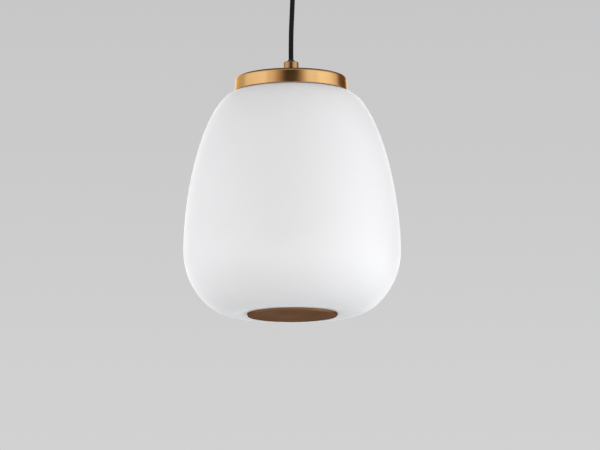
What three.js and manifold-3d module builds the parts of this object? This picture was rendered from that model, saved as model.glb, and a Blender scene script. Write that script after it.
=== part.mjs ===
// Pendant ceiling light: an opal glass shade with a brass cap and a brass closing disc,
// hung by a fabric-covered flex from a round ceiling canopy. Millimetres, +Z up.
// The origin is on the ceiling plane, above the centre of the light. The front is -Y.

import * as THREE from "three";
import { mergeVertices } from "three/addons/utils/BufferGeometryUtils.js";
import Module from "manifold-3d";

const wasm = await Module();
wasm.setup();

// ---------- driving dimensions ----------

const GAP = 0.3; // air left between pieces that touch
const HANGING_HEIGHT = 561; // ceiling to the underside of the closing disc
const SEGMENTS = { glass: 40, large: 36, medium: 20, small: 12, tiny: 8 };

// Glass shade. Heights here, and in all lamp pieces, are above the disc's underside.
const GLASS_WALL = 3;
const GLASS_MAX_RADIUS = 149.7;
const GLASS_MAX_HEIGHT = 90;
const NECK_RADIUS = 74.5;
const NECK_TOP = 329;
const SHOULDER_HEIGHT = 311.5;
const FOOT_RADIUS = 82;
const FOOT_HEIGHT = 2.2;
const SEAT_RADIUS = 66; // outer edge of the flat that the disc closes on
const SEAT_HEIGHT = 3.5;
const BOTTOM_HOLE_RADIUS = 46;

// Brass cap on the neck, and its cord grip.
const CAP_TOP = 333;
const CAP_RIM = 312;
const CAP_TOP_RADIUS = 76.9;
const CAP_RIM_RADIUS = 78.3;
const CAP_WALL = 1.2;
const CAP_EDGE = 4.5;
const GRIP_RADIUS = 10.45;
const GRIP_EDGE = 1.6;
const LAMP_GRIP_TOP = 355;

// Cord grips: a chamber for the bush at the mouth, a wire way behind it.
const CHAMBER_RADIUS = 5.2;
const CHAMBER_DEPTH = 7;
const WIRE_WAY_RADIUS = 3.4;
const GRIP_SEAT_EDGE = 0.4;
const THREAD_RADIUS = 5; // M10 lamp thread
const THREAD_HOLE_RADIUS = THREAD_RADIUS + GAP;
const SHEET_HOLE_RADIUS = THREAD_RADIUS + 0.4;
const GRUB = { radius: 1.35, hole: 1.7, inner: 3.9, outer: 10.2, slotWidth: 0.7, slotDepth: 0.9, fromMouth: 5 };
const BUSH = { outer: 4.7, inner: 3.9, halfHeight: 1.2 };
const CORD_RADIUS = 2.87;
const CORD_TUCK = 2; // length of cord inside each grip
const CORD_SPAN = 160; // from one grip's mouth to the other's

// Ceiling canopy and its fixings.
const CANOPY_RADIUS = 60;
const CANOPY_DEPTH = 28;
const CANOPY_WALL = 1.2;
const CANOPY_EDGE = 6;
const CANOPY_GRIP_HEIGHT = 18;
const CANOPY_GRIP_MOUTH = -(CANOPY_DEPTH + CANOPY_GRIP_HEIGHT);
const CANOPY_SCREW_HEIGHT = -11;
const STRAP = { halfLength: 57, width: 20, thickness: 2, tabDepth: 16 };
const SCREW = { shank: 1.6, hole: 1.95, head: 3.4, headHeight: 2.2, slotWidth: 0.8, slotDepth: 0.9 };
const CEILING_SLOT = { x: 45, length: 10, width: 4.5 };
const BLOCK = { minX: 9, maxX: 29, width: 17, height: 12, channel: 2.2, poles: [14, 24] };
const BLOCK_TOP = -(STRAP.thickness + GAP);
const BLOCK_POLE_HEIGHT = -9;
const BLOCK_NOTCH = { halfWidth: 5.2, depth: 1.2 };
const BLOCK_SCREW_X = (BLOCK.poles[0] + BLOCK.poles[1]) / 2;
const EARTH_SCREW_X = -22;
const WIRE_RADIUS = 1.1;

// Frame inside the shade.
const PLATE = 2; // thickness of the bar and the bridge
const BAR_TOP = 325.4;
const BAR_WIDTH = 26;
const BRIDGE_TOP = 24;
const BRIDGE_WIDTH = 18;
const ROD = { x: 46, radius: 3.4, end: 2.4, hole: 2.8, top: 330, bottom: 17.5 };
const ROD_NUT = { flats: 8, bore: 2.8, height: 3.3 };
const STUD = { radius: 4, hole: 4.3, top: 31, bottom: 7.5 };
const STUD_NUT = { flats: 13, bore: 4.3, height: 5 };

// Closing disc under the shade.
const DISC = { radius: 62.4, wall: 1.2, rim: 3.2, edge: 1.1, fillet: 0.4 };
const BOSS = { radius: 8, bottom: 1.5, bore: 4.3, boreFloor: 4, top: 14 };
const GASKET = { inner: 47, outer: 60, bottom: 1.5, top: 3.2 };

// E27 lampholder and lamp, base up.
const HOLDER = { radius: 19.5, top: 297.7, floor: 3.2, bottom: 262, bore: 14.7 };
const SHELL = { outer: 14.35, inner: 13.6, top: 292, bottom: 264 };
const BASE = { radius: 13.1, crest: 0.55, top: 288.5, bottom: 265, turns: 5, wall: 0.8 };
const BULB = { radius: 30, centre: 211.5, bottom: 181.5, seam: 222, wall: 1.5, collar: 14.5 };

// ---------- materials ----------

function material(color, roughness, metalness) {
  return new THREE.MeshStandardMaterial({ color, roughness, metalness });
}

const satinBrass = material(0xb98a4a, 0.35, 1);
const turnedBrass = material(0xc9a25a, 0.3, 1);
const zincSteel = material(0xb9bcc0, 0.4, 1);
const opalGlass = material(0xf6f4ef, 0.35, 0);
const clearSilicone = material(0xd8d8d4, 0.6, 0);
const blackRubber = material(0x1c1b1a, 0.8, 0);
const blackBraid = material(0x17181b, 0.9, 0);
const whitePlastic = material(0xeeeeea, 0.5, 0);
const glazedCeramic = material(0xe9e4d8, 0.25, 0);
const brownSleeve = material(0x6b3f22, 0.6, 0);
const blueSleeve = material(0x2f5f9e, 0.6, 0);
const greenSleeve = material(0x7fa33a, 0.6, 0);
const blackGlassBead = material(0x202022, 0.2, 0);

// ---------- shape helpers ----------

const at = (x, y) => new THREE.Vector2(x, y);

function arc(centreX, centreY, radius, startDegrees, endDegrees, steps) {
  const points = [];
  for (let step = 0; step <= steps; step++) {
    const angle = THREE.MathUtils.degToRad(startDegrees + ((endDegrees - startDegrees) * step) / steps);
    points.push(at(centreX + radius * Math.cos(angle), centreY + radius * Math.sin(angle)));
  }
  return points;
}

// A body of revolution about Z. Points are (radius, height), along the outline of the section.
function turned(outline, segments) {
  const onAxis = outline[0].x === 0 && outline.at(-1).x === 0;
  const ordered = THREE.ShapeUtils.area(outline) > 0 ? [...outline] : [...outline].reverse();
  if (!onAxis) ordered.push(ordered[0].clone());
  return new THREE.LatheGeometry(ordered, segments).rotateX(Math.PI / 2);
}

function ring(inner, outer, bottom, top, segments) {
  return turned([at(inner, bottom), at(outer, bottom), at(outer, top), at(inner, top)], segments);
}

function rod(radius, bottom, top, segments) {
  return turned([at(0, bottom), at(radius, bottom), at(radius, top), at(0, top)], segments);
}

function box(minX, maxX, minY, maxY, minZ, maxZ) {
  const geometry = new THREE.BoxGeometry(maxX - minX, maxY - minY, maxZ - minZ);
  return geometry.translate((minX + maxX) / 2, (minY + maxY) / 2, (minZ + maxZ) / 2);
}

function hexNut({ flats, bore, height }, bottom) {
  const outline = new THREE.Shape();
  const corner = flats / 2 / Math.cos(Math.PI / 6);
  for (let side = 0; side < 6; side++) {
    const angle = (side * Math.PI) / 3;
    const move = side === 0 ? "moveTo" : "lineTo";
    outline[move](corner * Math.cos(angle), corner * Math.sin(angle));
  }
  outline.holes.push(new THREE.Path().absarc(0, 0, bore, 0, 2 * Math.PI, true));
  const options = { depth: height, bevelEnabled: false, curveSegments: 8 };
  return new THREE.ExtrudeGeometry(outline, options).translate(0, 0, bottom);
}

function tube(points, radius, sides, steps) {
  const section = new THREE.Shape(arc(0, 0, radius, 0, 360 - 360 / sides, sides - 1));
  const route = new THREE.CatmullRomCurve3(points.map((point) => new THREE.Vector3(...point)));
  return new THREE.ExtrudeGeometry(section, { extrudePath: route, steps, bevelEnabled: false });
}

// ---------- cutting and joining ----------

function toSolid(geometry) {
  const bare = geometry.clone();
  bare.deleteAttribute("normal");
  bare.deleteAttribute("uv");
  const merged = mergeVertices(bare, 1e-4);
  const triVerts = [];
  const index = merged.index.array;
  for (let corner = 0; corner < index.length; corner += 3) {
    const [a, b, c] = index.slice(corner, corner + 3);
    if (a !== b && b !== c && c !== a) triVerts.push(a, b, c);
  }
  return new wasm.Manifold(
    new wasm.Mesh({
      numProp: 3,
      vertProperties: Float32Array.from(merged.attributes.position.array),
      triVerts: Uint32Array.from(triVerts),
    }),
  );
}

function toGeometry(solid) {
  const mesh = solid.getMesh();
  const geometry = new THREE.BufferGeometry();
  geometry.setAttribute("position", new THREE.BufferAttribute(mesh.vertProperties, 3));
  geometry.setIndex(new THREE.BufferAttribute(mesh.triVerts, 1));
  return geometry;
}

function cut(base, ...tools) {
  return toGeometry(tools.reduce((solid, tool) => solid.subtract(toSolid(tool)), toSolid(base)));
}

function join(base, ...others) {
  return toGeometry(others.reduce((solid, other) => solid.add(toSolid(other)), toSolid(base)));
}

// ---------- the model ----------

const light = new THREE.Group();
const lamp = new THREE.Group();
lamp.position.z = -HANGING_HEIGHT;
light.add(lamp);

function add(parent, name, geometry, finish) {
  const mesh = new THREE.Mesh(geometry, finish);
  mesh.name = name;
  parent.add(mesh);
  return mesh;
}

// A pan-head screw standing on the origin: the head above it, the shank below.
function panScrew(shankLength) {
  const { shank, head, headHeight, slotWidth, slotDepth } = SCREW;
  const outline = [
    at(0, -shankLength),
    at(shank, -shankLength),
    at(shank, 0),
    at(head, 0),
    at(head, headHeight * 0.5),
    at(head * 0.75, headHeight),
    at(0, headHeight),
  ];
  const slot = box(-head, head, -slotWidth / 2, slotWidth / 2, headHeight - slotDepth, headHeight + 1);
  return cut(turned(outline, SEGMENTS.small), slot);
}

// A headless screw lying along Y, with its slot at the outer end.
function grubScrew(height) {
  const { radius, inner, outer, slotWidth, slotDepth } = GRUB;
  const blank = rod(radius, -outer, -inner, SEGMENTS.tiny);
  const slot = box(-radius - 1, radius + 1, -slotWidth / 2, slotWidth / 2, -outer - 1, -outer + slotDepth);
  return cut(blank, slot).rotateX(Math.PI / 2).translate(0, 0, height);
}

// ---------- ceiling side ----------

function mountingStrap() {
  const { halfLength, width, thickness, tabDepth } = STRAP;
  const plate = box(-halfLength, halfLength, -width / 2, width / 2, -thickness, 0);
  const tabs = [-1, 1].map((side) => {
    const inner = side * (halfLength - thickness);
    const outer = side * halfLength;
    return box(Math.min(inner, outer), Math.max(inner, outer), -width / 2, width / 2, -tabDepth, 0);
  });
  const tabHole = rod(SCREW.hole, -halfLength - 1, halfLength + 1, SEGMENTS.small)
    .rotateY(Math.PI / 2)
    .translate(0, 0, CANOPY_SCREW_HEIGHT);
  const slots = [-1, 1].map((side) => {
    const half = CEILING_SLOT.length / 2;
    const middle = side * CEILING_SLOT.x;
    const halfWidth = CEILING_SLOT.width / 2;
    return box(middle - half, middle + half, -halfWidth, halfWidth, -thickness - 1, 1);
  });
  const drilled = [EARTH_SCREW_X, BLOCK_SCREW_X].map((x) => {
    return rod(SCREW.hole, -thickness - 1, 1, SEGMENTS.small).translate(x, 0, 0);
  });
  return cut(join(plate, ...tabs), tabHole, ...slots, ...drilled);
}

function canopyShell() {
  const inner = CANOPY_RADIUS - CANOPY_WALL;
  const edgeCentre = CANOPY_RADIUS - CANOPY_EDGE;
  const edgeHeight = CANOPY_EDGE - CANOPY_DEPTH;
  const outline = [
    at(SHEET_HOLE_RADIUS, -CANOPY_DEPTH),
    ...arc(edgeCentre, edgeHeight, CANOPY_EDGE, -90, 0, 4),
    at(CANOPY_RADIUS, 0),
    at(inner, 0),
    ...arc(edgeCentre, edgeHeight, CANOPY_EDGE - CANOPY_WALL, 0, -90, 4),
    at(SHEET_HOLE_RADIUS, CANOPY_WALL - CANOPY_DEPTH),
  ];
  const reach = CANOPY_RADIUS + 1;
  const screwHole = rod(SCREW.hole, -reach, reach, SEGMENTS.small)
    .rotateY(Math.PI / 2)
    .translate(0, 0, CANOPY_SCREW_HEIGHT);
  return cut(turned(outline, SEGMENTS.large), screwHole);
}

function addCanopyScrews() {
  const headSeat = CANOPY_RADIUS + GAP;
  const pastTab = 1.5;
  const shankLength = headSeat - (STRAP.halfLength - STRAP.thickness - pastTab);
  for (const [name, side] of [["left", -1], ["right", 1]]) {
    const screw = add(light, `canopy_screw_${name}`, panScrew(shankLength), turnedBrass);
    screw.position.set(side * headSeat, 0, CANOPY_SCREW_HEIGHT);
    screw.rotation.y = (side * Math.PI) / 2;
  }
}

// A cord grip's outline with its mouth up, from its seat at height 0.
function gripOutline(height, seatBore, seatBoreDepth) {
  return [
    at(seatBore, 0),
    ...arc(GRIP_RADIUS - GRIP_SEAT_EDGE, GRIP_SEAT_EDGE, GRIP_SEAT_EDGE, -90, 0, 2),
    ...arc(GRIP_RADIUS - GRIP_EDGE, height - GRIP_EDGE, GRIP_EDGE, 0, 90, 3),
    at(CHAMBER_RADIUS, height),
    at(CHAMBER_RADIUS, height - CHAMBER_DEPTH),
    at(WIRE_WAY_RADIUS, height - CHAMBER_DEPTH),
    at(WIRE_WAY_RADIUS, seatBoreDepth),
    at(seatBore, seatBoreDepth),
  ];
}

// The canopy's grip hangs mouth down, with its own threaded neck through the canopy.
function canopyGripBody() {
  const neckLength = 10;
  const neckOverlap = 0.5;
  const height = CANOPY_GRIP_HEIGHT - GAP;
  const neck = ring(WIRE_WAY_RADIUS, THREAD_RADIUS, -neckLength, 1, SEGMENTS.medium);
  const body = join(turned(gripOutline(height, WIRE_WAY_RADIUS, neckOverlap), SEGMENTS.medium), neck);
  const screwHole = rod(GRUB.hole, 0, GRIP_RADIUS + 1, SEGMENTS.tiny)
    .rotateX(Math.PI / 2)
    .translate(0, 0, height - GRUB.fromMouth);
  return cut(body, screwHole).rotateX(Math.PI).translate(0, 0, -CANOPY_DEPTH - GAP);
}

function terminalBlock() {
  const half = BLOCK.width / 2;
  const bottom = BLOCK_TOP - BLOCK.height;
  const body = box(BLOCK.minX, BLOCK.maxX, -half, half, bottom, BLOCK_TOP);
  const channels = BLOCK.poles.map((x) => {
    return rod(BLOCK.channel, -half - 1, half + 1, SEGMENTS.small)
      .rotateX(Math.PI / 2)
      .translate(x, 0, BLOCK_POLE_HEIGHT);
  });
  const screwHole = rod(SCREW.hole, bottom - 1, BLOCK_TOP + 1, SEGMENTS.small);
  const { halfWidth, depth } = BLOCK_NOTCH;
  const notch = box(-halfWidth, halfWidth, 0, half + 1, bottom - 1, bottom + depth);
  return cut(body, ...channels, screwHole.translate(BLOCK_SCREW_X, 0, 0), notch.translate(BLOCK_SCREW_X, 0, 0));
}

function addTerminals() {
  const halfLength = 6.5;
  const bore = WIRE_RADIUS + 0.1;
  const insert = () => {
    return ring(bore, BLOCK.channel - GAP, -halfLength, halfLength, SEGMENTS.small).rotateX(Math.PI / 2);
  };
  BLOCK.poles.forEach((x, pole) => {
    const mesh = add(light, `terminal_${["live", "neutral"][pole]}`, insert(), turnedBrass);
    mesh.position.set(x, 0, BLOCK_POLE_HEIGHT);
  });
  const intoStrap = 1.6;
  const screw = add(light, "terminal_block_screw", panScrew(BLOCK.height + intoStrap), zincSteel);
  screw.position.set(BLOCK_SCREW_X, 0, BLOCK_TOP - BLOCK.height - GAP);
  screw.rotation.x = Math.PI;
}

function addEarthTerminal() {
  const washerRadius = 3.8;
  const washerTop = -(STRAP.thickness + GAP);
  const washerBottom = washerTop - 0.6;
  const screwLength = 2.4;
  const washer = ring(SCREW.hole, washerRadius, washerBottom, washerTop, SEGMENTS.small);
  add(light, "earth_washer", washer.translate(EARTH_SCREW_X, 0, 0), turnedBrass);
  const screw = add(light, "earth_screw", panScrew(screwLength), zincSteel);
  screw.position.set(EARTH_SCREW_X, 0, washerBottom - GAP);
  screw.rotation.x = Math.PI;
}

// The flex's three cores, from the grip's neck to the terminals inside the canopy.
function addCanopyWires() {
  const neckTop = -CANOPY_DEPTH + 4;
  const [liveX, neutralX] = BLOCK.poles;
  const intoBlock = -BLOCK.width / 2 + 1.5;
  const routes = {
    live: [
      [1.5, 0.9, neckTop],
      [1.6, 0.8, neckTop + 7],
      [4, -5, -14.5],
      [9.5, -13, -11],
      [liveX, -15.5, -9.2],
      [liveX, -12, BLOCK_POLE_HEIGHT],
      [liveX, intoBlock, BLOCK_POLE_HEIGHT],
    ],
    neutral: [
      [0, -1.75, neckTop],
      [0.1, -2, neckTop + 7],
      [3.5, -10.5, -17],
      [13, -20, -13.5],
      [neutralX - 1.5, -20.5, -9.6],
      [neutralX, -14, BLOCK_POLE_HEIGHT],
      [neutralX, intoBlock, BLOCK_POLE_HEIGHT],
    ],
    earth: [
      [-1.5, 0.9, neckTop],
      [-1.7, 0.9, neckTop + 7],
      [-5, -2.5, -13],
      [-11, -7, -8.5],
      [-17, -8, -5],
      [EARTH_SCREW_X, -5.4, -3.8],
    ],
  };
  const sleeves = { live: brownSleeve, neutral: blueSleeve, earth: greenSleeve };
  for (const [name, route] of Object.entries(routes)) {
    add(light, `canopy_${name}_wire`, tube(route, WIRE_RADIUS, 8, 13), sleeves[name]);
  }
}

// ---------- cord and its bushes ----------

// Sideways bow of the hanging flex: [sideways, height above the lamp's grip].
const CORD_BOW = [
  [0, -CORD_TUCK],
  [0, 4],
  [0, 14],
  [0.15, 27],
  [0.45, 42],
  [1.1, 57],
  [1.8, 72],
  [2.45, 87],
  [2.95, 100],
  [3.0, 112],
  [2.6, 125],
  [1.55, 138],
  [0.45, 149],
  [0.05, 156],
  [0, CORD_SPAN + CORD_TUCK],
];

function addCord() {
  const lowerMouth = LAMP_GRIP_TOP - HANGING_HEIGHT;
  const route = CORD_BOW.map(([sideways, height]) => [sideways, 0, lowerMouth + height]);
  add(light, "pendant_cord", tube(route, CORD_RADIUS, 12, 14), blackBraid);
  const bush = () => ring(BUSH.inner, BUSH.outer, -BUSH.halfHeight, BUSH.halfHeight, SEGMENTS.medium);
  add(light, "canopy_gland_bush", bush(), blackRubber).position.z = CANOPY_GRIP_MOUTH;
  add(light, "lamp_gland_bush", bush(), blackRubber).position.z = lowerMouth;
}

// ---------- cap, nipple and frame ----------

function topCap() {
  const lean = Math.atan2(CAP_RIM_RADIUS - CAP_TOP_RADIUS, CAP_TOP - CAP_RIM);
  const edgeCentre = CAP_TOP_RADIUS - CAP_EDGE;
  const edgeHeight = CAP_TOP - CAP_EDGE;
  const sideAngle = THREE.MathUtils.radToDeg(lean);
  const innerRim = CAP_RIM_RADIUS - CAP_WALL;
  return turned(
    [
      at(SHEET_HOLE_RADIUS, CAP_TOP - CAP_WALL),
      ...arc(edgeCentre, edgeHeight, CAP_EDGE - CAP_WALL, 90, sideAngle, 4),
      at(innerRim, CAP_RIM),
      at(CAP_RIM_RADIUS, CAP_RIM),
      ...arc(edgeCentre, edgeHeight, CAP_EDGE, sideAngle, 90, 5),
      at(SHEET_HOLE_RADIUS, CAP_TOP),
    ],
    SEGMENTS.large,
  );
}

function lampGripBody() {
  const height = LAMP_GRIP_TOP - CAP_TOP - GAP;
  const threadDepth = 11;
  const body = turned(gripOutline(height, THREAD_HOLE_RADIUS, threadDepth), SEGMENTS.medium);
  const screwHole = rod(GRUB.hole, -GRIP_RADIUS - 1, 0, SEGMENTS.tiny)
    .rotateX(Math.PI / 2)
    .translate(0, 0, height - GRUB.fromMouth);
  return cut(body, screwHole).translate(0, 0, CAP_TOP + GAP);
}

function addGripScrews() {
  add(lamp, "lamp_gland_screw", grubScrew(LAMP_GRIP_TOP - GRUB.fromMouth), zincSteel);
  add(light, "canopy_gland_screw", grubScrew(CANOPY_GRIP_MOUTH + GRUB.fromMouth), zincSteel);
}

function addNipple() {
  const underCap = CAP_TOP - CAP_WALL - GAP;
  const washerRadius = 11;
  const washerBottom = underCap - 1.2;
  const nut = { flats: 14, bore: THREAD_HOLE_RADIUS, height: 4.3 };
  const nippleTop = CAP_TOP + 10.5;
  const nippleBottom = 316;
  const nipple = ring(WIRE_WAY_RADIUS, THREAD_RADIUS, nippleBottom, nippleTop, SEGMENTS.medium);
  add(lamp, "hollow_nipple", nipple, turnedBrass);
  const washer = ring(THREAD_HOLE_RADIUS, washerRadius, washerBottom, underCap, SEGMENTS.medium);
  add(lamp, "nipple_washer", washer, zincSteel);
  add(lamp, "nipple_locknut", hexNut(nut, washerBottom - GAP - nut.height), turnedBrass);
}

function drilledBar(width, top, centreHole) {
  const pastRod = 8;
  const reach = ROD.x + pastRod;
  const bar = box(-reach, reach, -width / 2, width / 2, top - PLATE, top);
  const drill = (x, radius) => rod(radius, top - PLATE - 1, top + 1, SEGMENTS.small).translate(x, 0, 0);
  return cut(bar, drill(0, centreHole), drill(-ROD.x, ROD.hole), drill(ROD.x, ROD.hole));
}

function yokeRod() {
  const shoulderTop = BAR_TOP - PLATE - GAP;
  const shoulderBottom = BRIDGE_TOP + GAP;
  const outline = [
    at(0, ROD.bottom),
    at(ROD.end, ROD.bottom),
    at(ROD.end, shoulderBottom),
    at(ROD.radius, shoulderBottom),
    at(ROD.radius, shoulderTop),
    at(ROD.end, shoulderTop),
    at(ROD.end, ROD.top),
    at(0, ROD.top),
  ];
  return turned(outline, SEGMENTS.small);
}

function addYoke() {
  for (const [name, side] of [["left", -1], ["right", 1]]) {
    add(lamp, `yoke_rod_${name}`, yokeRod(), zincSteel).position.x = side * ROD.x;
    const upperNut = hexNut(ROD_NUT, BAR_TOP + GAP);
    add(lamp, `rod_nut_upper_${name}`, upperNut, zincSteel).position.x = side * ROD.x;
    const lowerNut = hexNut(ROD_NUT, BRIDGE_TOP - PLATE - GAP - ROD_NUT.height);
    add(lamp, `rod_nut_lower_${name}`, lowerNut, zincSteel).position.x = side * ROD.x;
  }
  add(lamp, "fitter_bar", drilledBar(BAR_WIDTH, BAR_TOP, THREAD_HOLE_RADIUS), zincSteel);
  add(lamp, "yoke_bridge", drilledBar(BRIDGE_WIDTH, BRIDGE_TOP, STUD.hole), zincSteel);
  add(lamp, "yoke_stud", rod(STUD.radius, STUD.bottom, STUD.top, SEGMENTS.small), zincSteel);
  add(lamp, "stud_nut_upper", hexNut(STUD_NUT, BRIDGE_TOP + GAP), zincSteel);
  const lowerNutBottom = BRIDGE_TOP - PLATE - GAP - STUD_NUT.height;
  add(lamp, "stud_nut_lower", hexNut(STUD_NUT, lowerNutBottom), zincSteel);
}

function neckGasket() {
  const inner = NECK_RADIUS - 4;
  const outer = NECK_RADIUS - 1.2;
  return ring(inner, outer, NECK_TOP + GAP, CAP_TOP - CAP_WALL - GAP, SEGMENTS.large);
}

// ---------- lampholder ----------

function lampholderCover() {
  const neckTop = BAR_TOP - PLATE - GAP;
  const neckRadius = 8.5;
  const dome = 12.5;
  const shoulder = HOLDER.top + GAP + 5;
  const wall = 1.5;
  const bottom = HOLDER.top + GAP;
  return turned(
    [
      at(THREAD_HOLE_RADIUS, neckTop),
      at(neckRadius, neckTop),
      at(neckRadius, shoulder + dome + 1),
      ...arc(HOLDER.radius - dome, shoulder, dome, 82, 0, 4),
      at(HOLDER.radius, bottom),
      at(HOLDER.radius - wall, bottom),
      ...arc(HOLDER.radius - dome, shoulder, dome - wall, 0, 90, 4),
      at(THREAD_HOLE_RADIUS, shoulder + dome - wall),
    ],
    SEGMENTS.medium,
  );
}

function lampholderBody() {
  const ceiling = HOLDER.top - HOLDER.floor;
  const skirtRadius = HOLDER.radius - 1.2;
  const collarHeight = 9;
  const chamfer = 1;
  return turned(
    [
      at(0, HOLDER.top),
      at(HOLDER.radius, HOLDER.top),
      at(HOLDER.radius, HOLDER.top - collarHeight),
      at(skirtRadius, HOLDER.top - collarHeight - chamfer),
      at(skirtRadius, HOLDER.bottom + chamfer),
      at(skirtRadius - chamfer, HOLDER.bottom),
      at(HOLDER.bore, HOLDER.bottom),
      at(HOLDER.bore, ceiling),
      at(0, ceiling),
    ],
    SEGMENTS.medium,
  );
}

function addLampholder() {
  const ceiling = HOLDER.top - HOLDER.floor;
  add(lamp, "lampholder_cover", lampholderCover(), satinBrass);
  add(lamp, "lampholder_body", lampholderBody(), glazedCeramic);
  const shell = ring(SHELL.inner, SHELL.outer, SHELL.bottom, SHELL.top, SEGMENTS.medium);
  add(lamp, "lampholder_shell", shell, turnedBrass);
  const contactRadius = 3.2;
  const contactTop = ceiling - GAP;
  const contact = rod(contactRadius, contactTop - 1.4, contactTop, SEGMENTS.small);
  add(lamp, "lampholder_contact", contact, turnedBrass);
}

// The flex's cores, from the hollow nipple to the lampholder's three terminals.
function addLampWires() {
  const names = ["live", "neutral", "earth"];
  const sleeves = [brownSleeve, blueSleeve, greenSleeve];
  names.forEach((name, core) => {
    const angle = (core * 2 * Math.PI) / 3 + Math.PI / 6;
    const spoke = (radius, height) => [radius * Math.cos(angle), radius * Math.sin(angle), height];
    const route = [spoke(1.75, 330), spoke(1.75, 318), spoke(3.2, 311.5), spoke(8, 304.5), spoke(9.5, 298.3)];
    add(lamp, `lamp_${name}_wire`, tube(route, WIRE_RADIUS, 8, 8), sleeves[core]);
  });
}

// ---------- glass shade ----------

// The outside of the glass, from the neck's rim down, round the belly and in to the bottom hole.
function glassOutside() {
  const neckCorner = 2.2;
  const shoulderSlope = 0.06;
  const shoulder = at(NECK_RADIUS + neckCorner, SHOULDER_HEIGHT - neckCorner * shoulderSlope);
  // How far the curve's handles reach along it from the shoulder, the belly and the foot.
  const shoulderReach = 38;
  const bellyReachUp = 97;
  const bellyReachDown = 50;
  const footReach = 30;
  const pieces = [
    [new THREE.LineCurve(at(NECK_RADIUS, NECK_TOP), at(NECK_RADIUS, SHOULDER_HEIGHT + neckCorner)), 1],
    [
      new THREE.QuadraticBezierCurve(
        at(NECK_RADIUS, SHOULDER_HEIGHT + neckCorner),
        at(NECK_RADIUS, SHOULDER_HEIGHT),
        shoulder,
      ),
      2,
    ],
    [
      new THREE.CubicBezierCurve(
        shoulder,
        at(shoulder.x + shoulderReach, shoulder.y - shoulderReach * shoulderSlope),
        at(GLASS_MAX_RADIUS, GLASS_MAX_HEIGHT + bellyReachUp),
        at(GLASS_MAX_RADIUS, GLASS_MAX_HEIGHT),
      ),
      10,
    ],
    [
      new THREE.CubicBezierCurve(
        at(GLASS_MAX_RADIUS, GLASS_MAX_HEIGHT),
        at(GLASS_MAX_RADIUS, GLASS_MAX_HEIGHT - bellyReachDown),
        at(FOOT_RADIUS + footReach, FOOT_HEIGHT),
        at(FOOT_RADIUS, FOOT_HEIGHT),
      ),
      8,
    ],
    [
      new THREE.CubicBezierCurve(
        at(FOOT_RADIUS, FOOT_HEIGHT),
        at(FOOT_RADIUS - 7, FOOT_HEIGHT),
        at(SEAT_RADIUS + 5, SEAT_HEIGHT),
        at(SEAT_RADIUS, SEAT_HEIGHT),
      ),
      2,
    ],
    [new THREE.LineCurve(at(SEAT_RADIUS, SEAT_HEIGHT), at(BOTTOM_HOLE_RADIUS, SEAT_HEIGHT)), 1],
  ];
  return pieces.flatMap(([curve, steps], index) => curve.getPoints(steps).slice(index === 0 ? 0 : 1));
}

function glassShade() {
  const outside = glassOutside();
  const inside = outside.map((point, index) => {
    const before = outside[Math.max(index - 1, 0)];
    const after = outside[Math.min(index + 1, outside.length - 1)];
    const along = after.clone().sub(before).normalize();
    return at(point.x + along.y * GLASS_WALL, point.y - along.x * GLASS_WALL);
  });
  return turned([...outside, ...inside.reverse()], SEGMENTS.glass);
}

// ---------- closing disc ----------

function bottomDisc() {
  const { radius, wall, rim, edge, fillet } = DISC;
  return turned(
    [
      at(0, 0),
      ...arc(radius - edge, edge, edge, -90, 0, 3),
      at(radius, rim),
      at(radius - wall, rim),
      at(radius - wall, wall + fillet),
      at(radius - wall - fillet, wall),
      at(0, wall),
    ],
    SEGMENTS.large,
  );
}

function discBoss() {
  return turned(
    [
      at(0, BOSS.bottom),
      at(BOSS.radius, BOSS.bottom),
      at(BOSS.radius, BOSS.top),
      at(BOSS.bore, BOSS.top),
      at(BOSS.bore, BOSS.boreFloor),
      at(0, BOSS.boreFloor),
    ],
    SEGMENTS.small,
  );
}

// ---------- lamp (bulb) ----------

function bulbBaseShell() {
  const { radius, crest, top, bottom, turns, wall } = BASE;
  const stepsPerTurn = 2;
  const outside = [];
  for (let step = 0; step <= turns * stepsPerTurn; step++) {
    const wave = Math.cos((step / stepsPerTurn) * 2 * Math.PI);
    const height = bottom + ((top - bottom) * step) / (turns * stepsPerTurn);
    outside.push(at(radius - (crest * (1 + wave)) / 2, height));
  }
  const bore = radius - crest - wall;
  return turned([...outside, at(bore, top), at(bore, bottom)], SEGMENTS.medium);
}

function addBulb() {
  add(lamp, "bulb_base_shell", bulbBaseShell(), zincSteel);
  const beadBottom = BASE.top + GAP;
  const beadTop = beadBottom + 2.2;
  const bead = [at(0, beadBottom), at(BASE.radius - 2, beadBottom), at(5, beadTop), at(0, beadTop)];
  add(lamp, "bulb_base_insulator", turned(bead, SEGMENTS.small), blackGlassBead);
  const contact = rod(4.2, beadTop + GAP, beadTop + GAP + 0.8, SEGMENTS.small);
  add(lamp, "bulb_contact", contact, turnedBrass);
  const seamRadius = Math.sqrt(BULB.radius ** 2 - (BULB.seam - BULB.centre) ** 2);
  const housing = [
    at(0, BULB.seam + GAP),
    at(seamRadius, BULB.seam + GAP),
    at(seamRadius - 2.5, BULB.seam + 9),
    at(BULB.collar + 3.5, BULB.seam + 28),
    at(BULB.collar - 1.2, BASE.bottom - 5),
    at(BASE.radius, BASE.bottom - GAP),
    at(0, BASE.bottom - GAP),
  ];
  add(lamp, "bulb_housing", turned(housing, SEGMENTS.medium), whitePlastic);
  const seamAngle = THREE.MathUtils.radToDeg(Math.asin((BULB.seam - BULB.centre) / BULB.radius));
  const dome = [
    ...arc(0, BULB.centre, BULB.radius, -90, seamAngle, 6),
    ...arc(0, BULB.centre, BULB.radius - BULB.wall, seamAngle, -90, 5),
  ];
  dome[0].x = 0;
  dome.at(-1).x = 0;
  add(lamp, "bulb_dome", turned(dome, SEGMENTS.medium), whitePlastic);
}

// ---------- assembly ----------

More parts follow.
